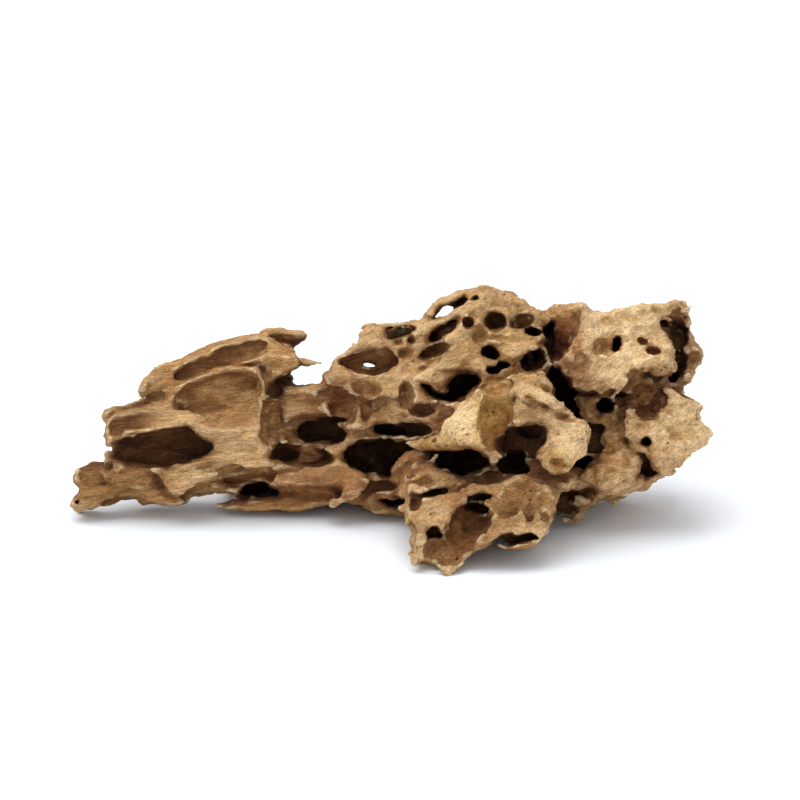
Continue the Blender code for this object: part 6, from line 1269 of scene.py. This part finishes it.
def measure_shelter(wood):
    """Stores how closed in each place is, near by and further off, and how sharp its crest is."""
    mesh = wood.data
    places, normals, edges = mesh_arrays(mesh)
    tree = skin(wood)
    chance = np.random.RandomState(SHELTER_SEED)
    spread = chance.normal(size=(SHELTER_RAYS, 3))
    spread /= np.linalg.norm(spread, axis=1)[:, None]
    near = np.zeros(len(places))
    far = np.zeros(len(places))
    for index, (place, normal) in enumerate(zip(places, normals)):
        start = Vector(place + normal * RAY_LIFT)
        for ray in spread:
            direction = Vector(normal * SHELTER_LEAD + ray)
            distance = tree.ray_cast(start, direction, FAR_REACH * MM)[3]
            if distance is not None:
                far[index] += 1
                if distance < NEAR_REACH * MM:
                    near[index] += 1 - distance / (NEAR_REACH * MM)
    store(mesh, "hollow", eased(far / SHELTER_RAYS, edges, 2))
    store(mesh, "pit", eased(near / SHELTER_RAYS, edges, 1))
    first, second = edges.T
    across = places[second] - places[first]
    length = np.linalg.norm(across, axis=1) + 1e-9
    bend = np.sum((normals[second] - normals[first]) * across, axis=1) / length ** 2 * MM
    count = len(places)
    total = np.bincount(first, bend, count) + np.bincount(second, bend, count)
    neighbours = np.maximum(1, np.bincount(edges.ravel(), minlength=count))
    store(mesh, "crest", eased(total / neighbours, edges, 1))


def store_lines(wood, points):
    """Stores how near the crest lines run."""
    away = away_from(wood, points)
    store(wood.data, "line", np.clip((LINE_FADE - away) / (LINE_FADE - LINE_CORE), 0, 1))


def store_tints(wood, level):
    """Stores each tint's strength, laid over the front view and the same right through."""
    mesh = wood.data
    back = np.array(level.inverted())
    places = (mesh_arrays(mesh)[0] @ back[:3, :3].T + back[:3, 3]) / MM
    across = places[:, 0]
    up = places[:, 2]
    for name, tints in TINTS.items():
        total = np.zeros(len(places))
        for tint in tints:
            aside, above = (across - tint.place[0]) / tint.radii[0], (up - tint.place[1]) / tint.radii[1]
            offset = aside ** 2 + above ** 2
            total = np.maximum(total, tint.strength * np.exp(-offset ** TINT_EDGE / TINT_SPAN))
        store(mesh, name, total)
    store(mesh, "burr", burr_share(across))


def linear(channel):
    """A colour channel from 0 to 255, made linear."""
    share = channel / 255
    return share / 12.92 if share <= 0.04045 else ((share + 0.055) / 1.055) ** 2.4


def colour(code):
    """A colour of six hexadecimal digits, made linear, and opaque."""
    return (*(linear(int(code[start:start + 2], 16)) for start in (0, 2, 4)), 1)


def add_node(tree, kind, inputs=None, **settings):
    """One node, with its settings, and its inputs as values or as sockets to link."""
    node = tree.nodes.new(kind)
    for name, value in settings.items():
        setattr(node, name, value)
    for key, value in (inputs or {}).items():
        if isinstance(value, bpy.types.NodeSocket):
            tree.links.new(value, node.inputs[key])
        else:
            node.inputs[key].default_value = value
    return node


def weathered_wood_and_painted_shade():
    """Dry driftwood: bleached crests, tan skin, brown scoops and almost black holes, matt all over; the
    darkening of scoops and holes is painted shade by shelter, with the weathering of sheltered wood, and
    the pale crests are partly a painted highlight.
    """
    material = bpy.data.materials.new("weathered_driftwood_and_painted_shade")
    material.use_nodes = True
    tree = material.node_tree
    shader = tree.nodes["Principled BSDF"]
    place = add_node(tree, "ShaderNodeTexCoord").outputs["Object"]

    def along_grain(stretch, slope):
        """Places drawn together along a grain that rises to the right by slope."""
        return add_node(tree, "ShaderNodeMapping", {
            "Vector": place, "Rotation": (0, -slope, 0), "Scale": (stretch, 1, 1)},
            vector_type="TEXTURE").outputs[0]

    def grained(size, stretch, detail=4.0, distortion=0.0, slope=GRAIN_SLOPES[0]):
        """Noise of a real size in millimetres, stretched along the grain."""
        pattern = add_node(tree, "ShaderNodeTexNoise", {
            "Vector": along_grain(stretch, slope), "Scale": 1 / (size * MM), "Detail": detail,
            "Roughness": 0.6, "Distortion": distortion})
        return pattern.outputs["Fac"]

    def attribute(name):
        return add_node(tree, "ShaderNodeAttribute", attribute_name=name).outputs["Fac"]

    def ranged(value, low, high, to_low=0.0, to_high=1.0):
        return add_node(tree, "ShaderNodeMapRange", {
            "Value": value, "From Min": low, "From Max": high,
            "To Min": to_low, "To Max": to_high}).outputs[0]

    def math_node(operation, *values):
        return add_node(tree, "ShaderNodeMath", dict(enumerate(values)), operation=operation).outputs[0]

    def mixed(share, first, second, blend="MIX"):
        return add_node(tree, "ShaderNodeMix", {"Factor": share, "A": first, "B": second},
                        data_type="RGBA", blend_type=blend).outputs["Result"]

    def scale_of(shelter, stops):
        """A colour scale over the shelter, as its own node."""
        node = add_node(tree, "ShaderNodeValToRGB", {"Fac": shelter})
        ramp = node.color_ramp
        ramp.elements[0].position, ramp.elements[0].color = stops[0][0], colour(stops[0][1])
        ramp.elements[1].position, ramp.elements[1].color = stops[-1][0], colour(stops[-1][1])
        for position, code in stops[1:-1]:
            ramp.elements.new(position).color = colour(code)
        return node.outputs["Color"]

    def turned_grain(size, stretches, distortion):
        """Streaks that turn from the left's long grain to the right's shorter, steeper one."""
        left, right = (grained(size, stretch, 3.0, distortion, slope)
                       for stretch, slope in zip(stretches, GRAIN_SLOPES))
        return add_node(tree, "ShaderNodeMix", {"Factor": attribute("burr"), "A": left, "B": right},
                        data_type="FLOAT").outputs["Result"]

    patches = grained(**PATCHES)
    mottles = grained(**MOTTLES)
    streaks = turned_grain(**STREAKS)
    fibres = turned_grain(**FIBRES)
    grit = grained(**GRIT)
    dots = add_node(tree, "ShaderNodeTexVoronoi", {
        "Vector": along_grain(DOT_STRETCH, GRAIN_SLOPES[1]),
        "Scale": 1 / (DOT_SIZE * MM)}).outputs["Distance"]
    clusters = grained(**CLUSTERS)

    # The colour: a place on the two scales by its shelter, which paints shade into hollows and pits, mixed
    # by its tone, then the tints, the stained pits, the pale edges, which are partly a painted highlight,
    # and the patterns' shades.
    # The shelter, from how closed in each place is: painted shade in hollows and pits, with the weathering
    # of sheltered wood.
    near_by = math_node("MULTIPLY", attribute("pit"), PIT_SHARE)
    shelter = math_node("MULTIPLY_ADD", attribute("hollow"), HOLLOW_SHARE, near_by)
    shelter = math_node("ADD", shelter, ranged(mottles, 0.3, 0.7, *MOTTLE_SHARES))
    lift = math_node("MULTIPLY", attribute("bleached"), BLEACHED_TONE)
    tone = math_node("ADD", ranged(patches, 0.35, 0.65, *PATCH_TONES), lift)
    tone = math_node("SUBTRACT", tone, math_node("MULTIPLY", attribute("stained"), STAINED_TONE))
    shade = mixed(ranged(tone, 0, 1), scale_of(shelter, STAINED_WOOD_AND_PAINTED_SHADE), scale_of(shelter, BLEACHED_WOOD_AND_PAINTED_SHADE))
    for name, code in (("ochre", OCHRE), ("rust", RUST), ("grey", GREY)):
        share = math_node("MULTIPLY", attribute(name), ranged(mottles, 0.3, 0.6, 0.5, 1.0))
        shade = mixed(share, shade, colour(code), "MULTIPLY")
    pitted = math_node("MULTIPLY", ranged(dots, 0.32, 0.12), ranged(clusters, 0.52, 0.66))
    pitted = math_node("MULTIPLY", pitted, attribute("burr"))
    shade = mixed(pitted, shade, colour(PIT_STAIN), "MULTIPLY")
    # Pale edges: bleached crests and a painted highlight along them.
    shade = mixed(ranged(attribute("crest"), 0.14, 0.45, 0.0, CREST_PALENESS), shade, colour(PALE_EDGE_AND_PAINTED_HIGHLIGHT))
    shade = mixed(ranged(attribute("line"), 0, 1, 0.0, LINE_PALENESS), shade, colour(PALE_EDGE_AND_PAINTED_HIGHLIGHT))
    shade = mixed(1.0, shade, ranged(streaks, 0.40, 0.60, *STREAK_SHADES), "MULTIPLY")
    quiet = math_node("MULTIPLY", attribute("burr"), BURR_QUIET)
    dark = math_node("ADD", quiet, FIBRE_SHADES[0])
    bright = math_node("SUBTRACT", FIBRE_SHADES[1], quiet)
    shade = mixed(1.0, shade, ranged(fibres, 0.37, 0.63, dark, bright), "MULTIPLY")
    shade = mixed(1.0, shade, ranged(grit, 0.36, 0.64, *GRIT_SHADES), "MULTIPLY")
    tree.links.new(shade, shader.inputs["Base Color"])
    shader.inputs["Roughness"].default_value = ROUGHNESS
    shader.inputs["Specular IOR Level"].default_value = SHINE

    # The relief: each pattern's height, as a share of the bump's depth.
    height = math_node("MULTIPLY_ADD", fibres, 0.9, math_node("MULTIPLY", grit, 0.15))
    height = math_node("MULTIPLY_ADD", pitted, -0.4, height)
    height = math_node("MULTIPLY_ADD", streaks, 0.8, height)
    height = math_node("MULTIPLY_ADD", mottles, 0.8, height)
    bump = add_node(tree, "ShaderNodeBump", {
        "Height": height, "Strength": BUMP_STRENGTH, "Distance": BUMP_DEPTH * MM})
    tree.links.new(bump.outputs[0], shader.inputs["Normal"])
    return material


def make_floor():
    bpy.ops.mesh.primitive_plane_add(size=FLOOR_SIZE, location=(0, 0, 0))
    floor = bpy.context.object
    floor.name = "studio_floor"
    material = bpy.data.materials.new("white_paper")
    material.use_nodes = True
    shader = material.node_tree.nodes["Principled BSDF"]
    shader.inputs["Base Color"].default_value = colour(PAPER)
    shader.inputs["Roughness"].default_value = 0.9
    floor.data.materials.append(material)


def add_light(name, place, target, size, power):
    lamp = bpy.data.lights.new(name, "AREA")
    lamp.size = size
    lamp.energy = power
    light = bpy.data.objects.new(name, lamp)
    bpy.context.scene.collection.objects.link(light)
    light.location = place
    light.rotation_euler = (Vector(target) - light.location).to_track_quat("-Z", "Y").to_euler()


def light_studio():
    world = bpy.data.worlds.new("studio")
    world.use_nodes = True
    world.node_tree.nodes["Background"].inputs["Color"].default_value = SKY
    world.node_tree.nodes["Background"].inputs["Strength"].default_value = SKY_STRENGTH
    bpy.context.scene.world = world
    add_light("key", KEY_PLACE, KEY_TARGET, KEY_SIZE, KEY_POWER)


def set_camera(level):
    """The photograph's view: looking down by VIEW_TILT, from far enough to be almost flat."""
    camera = bpy.data.cameras.new("camera")
    eye = bpy.data.objects.new("camera", camera)
    bpy.context.scene.collection.objects.link(eye)
    across = (PICTURE / 2 - ORIGIN_PIXEL[0]) * PIXEL
    up = (ORIGIN_PIXEL[1] - PICTURE / 2) * PIXEL
    eye.location = level @ (Vector((across, EYE_DEPTH - EYE_DISTANCE, up)) * MM)
    eye.rotation_euler = (math.radians(90) - VIEW_TILT, 0, 0)
    camera.sensor_width = SENSOR
    camera.lens = camera.sensor_width * EYE_DISTANCE / (PICTURE * PIXEL)
    camera.clip_end = 20
    bpy.context.scene.camera = eye


def main():
    noise.seed_set(NOISE_SEED)
    group = bpy.context.scene.collection
    wood = make_wood(group, group)
    weather(wood)
    thin_out(wood)
    crest_points = find_crest_points(wood)
    raise_crests(wood, crest_points)
    level = level_matrix(wood)
    wood.data.transform(level)
    cut_flat(wood)
    wood.name = "driftwood"
    wood.data.name = "driftwood"
    wood.data.shade_smooth()
    measure_shelter(wood)
    store_lines(wood, [level @ point for point in crest_points])
    store_tints(wood, level)
    wood.data.materials.clear()
    wood.data.materials.append(weathered_wood_and_painted_shade())
    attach(wood, "root")
    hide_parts("honeycomb_wood")
    make_floor()
    light_studio()
    set_camera(level)
    bpy.context.scene.view_settings.view_transform = "Standard"


main()
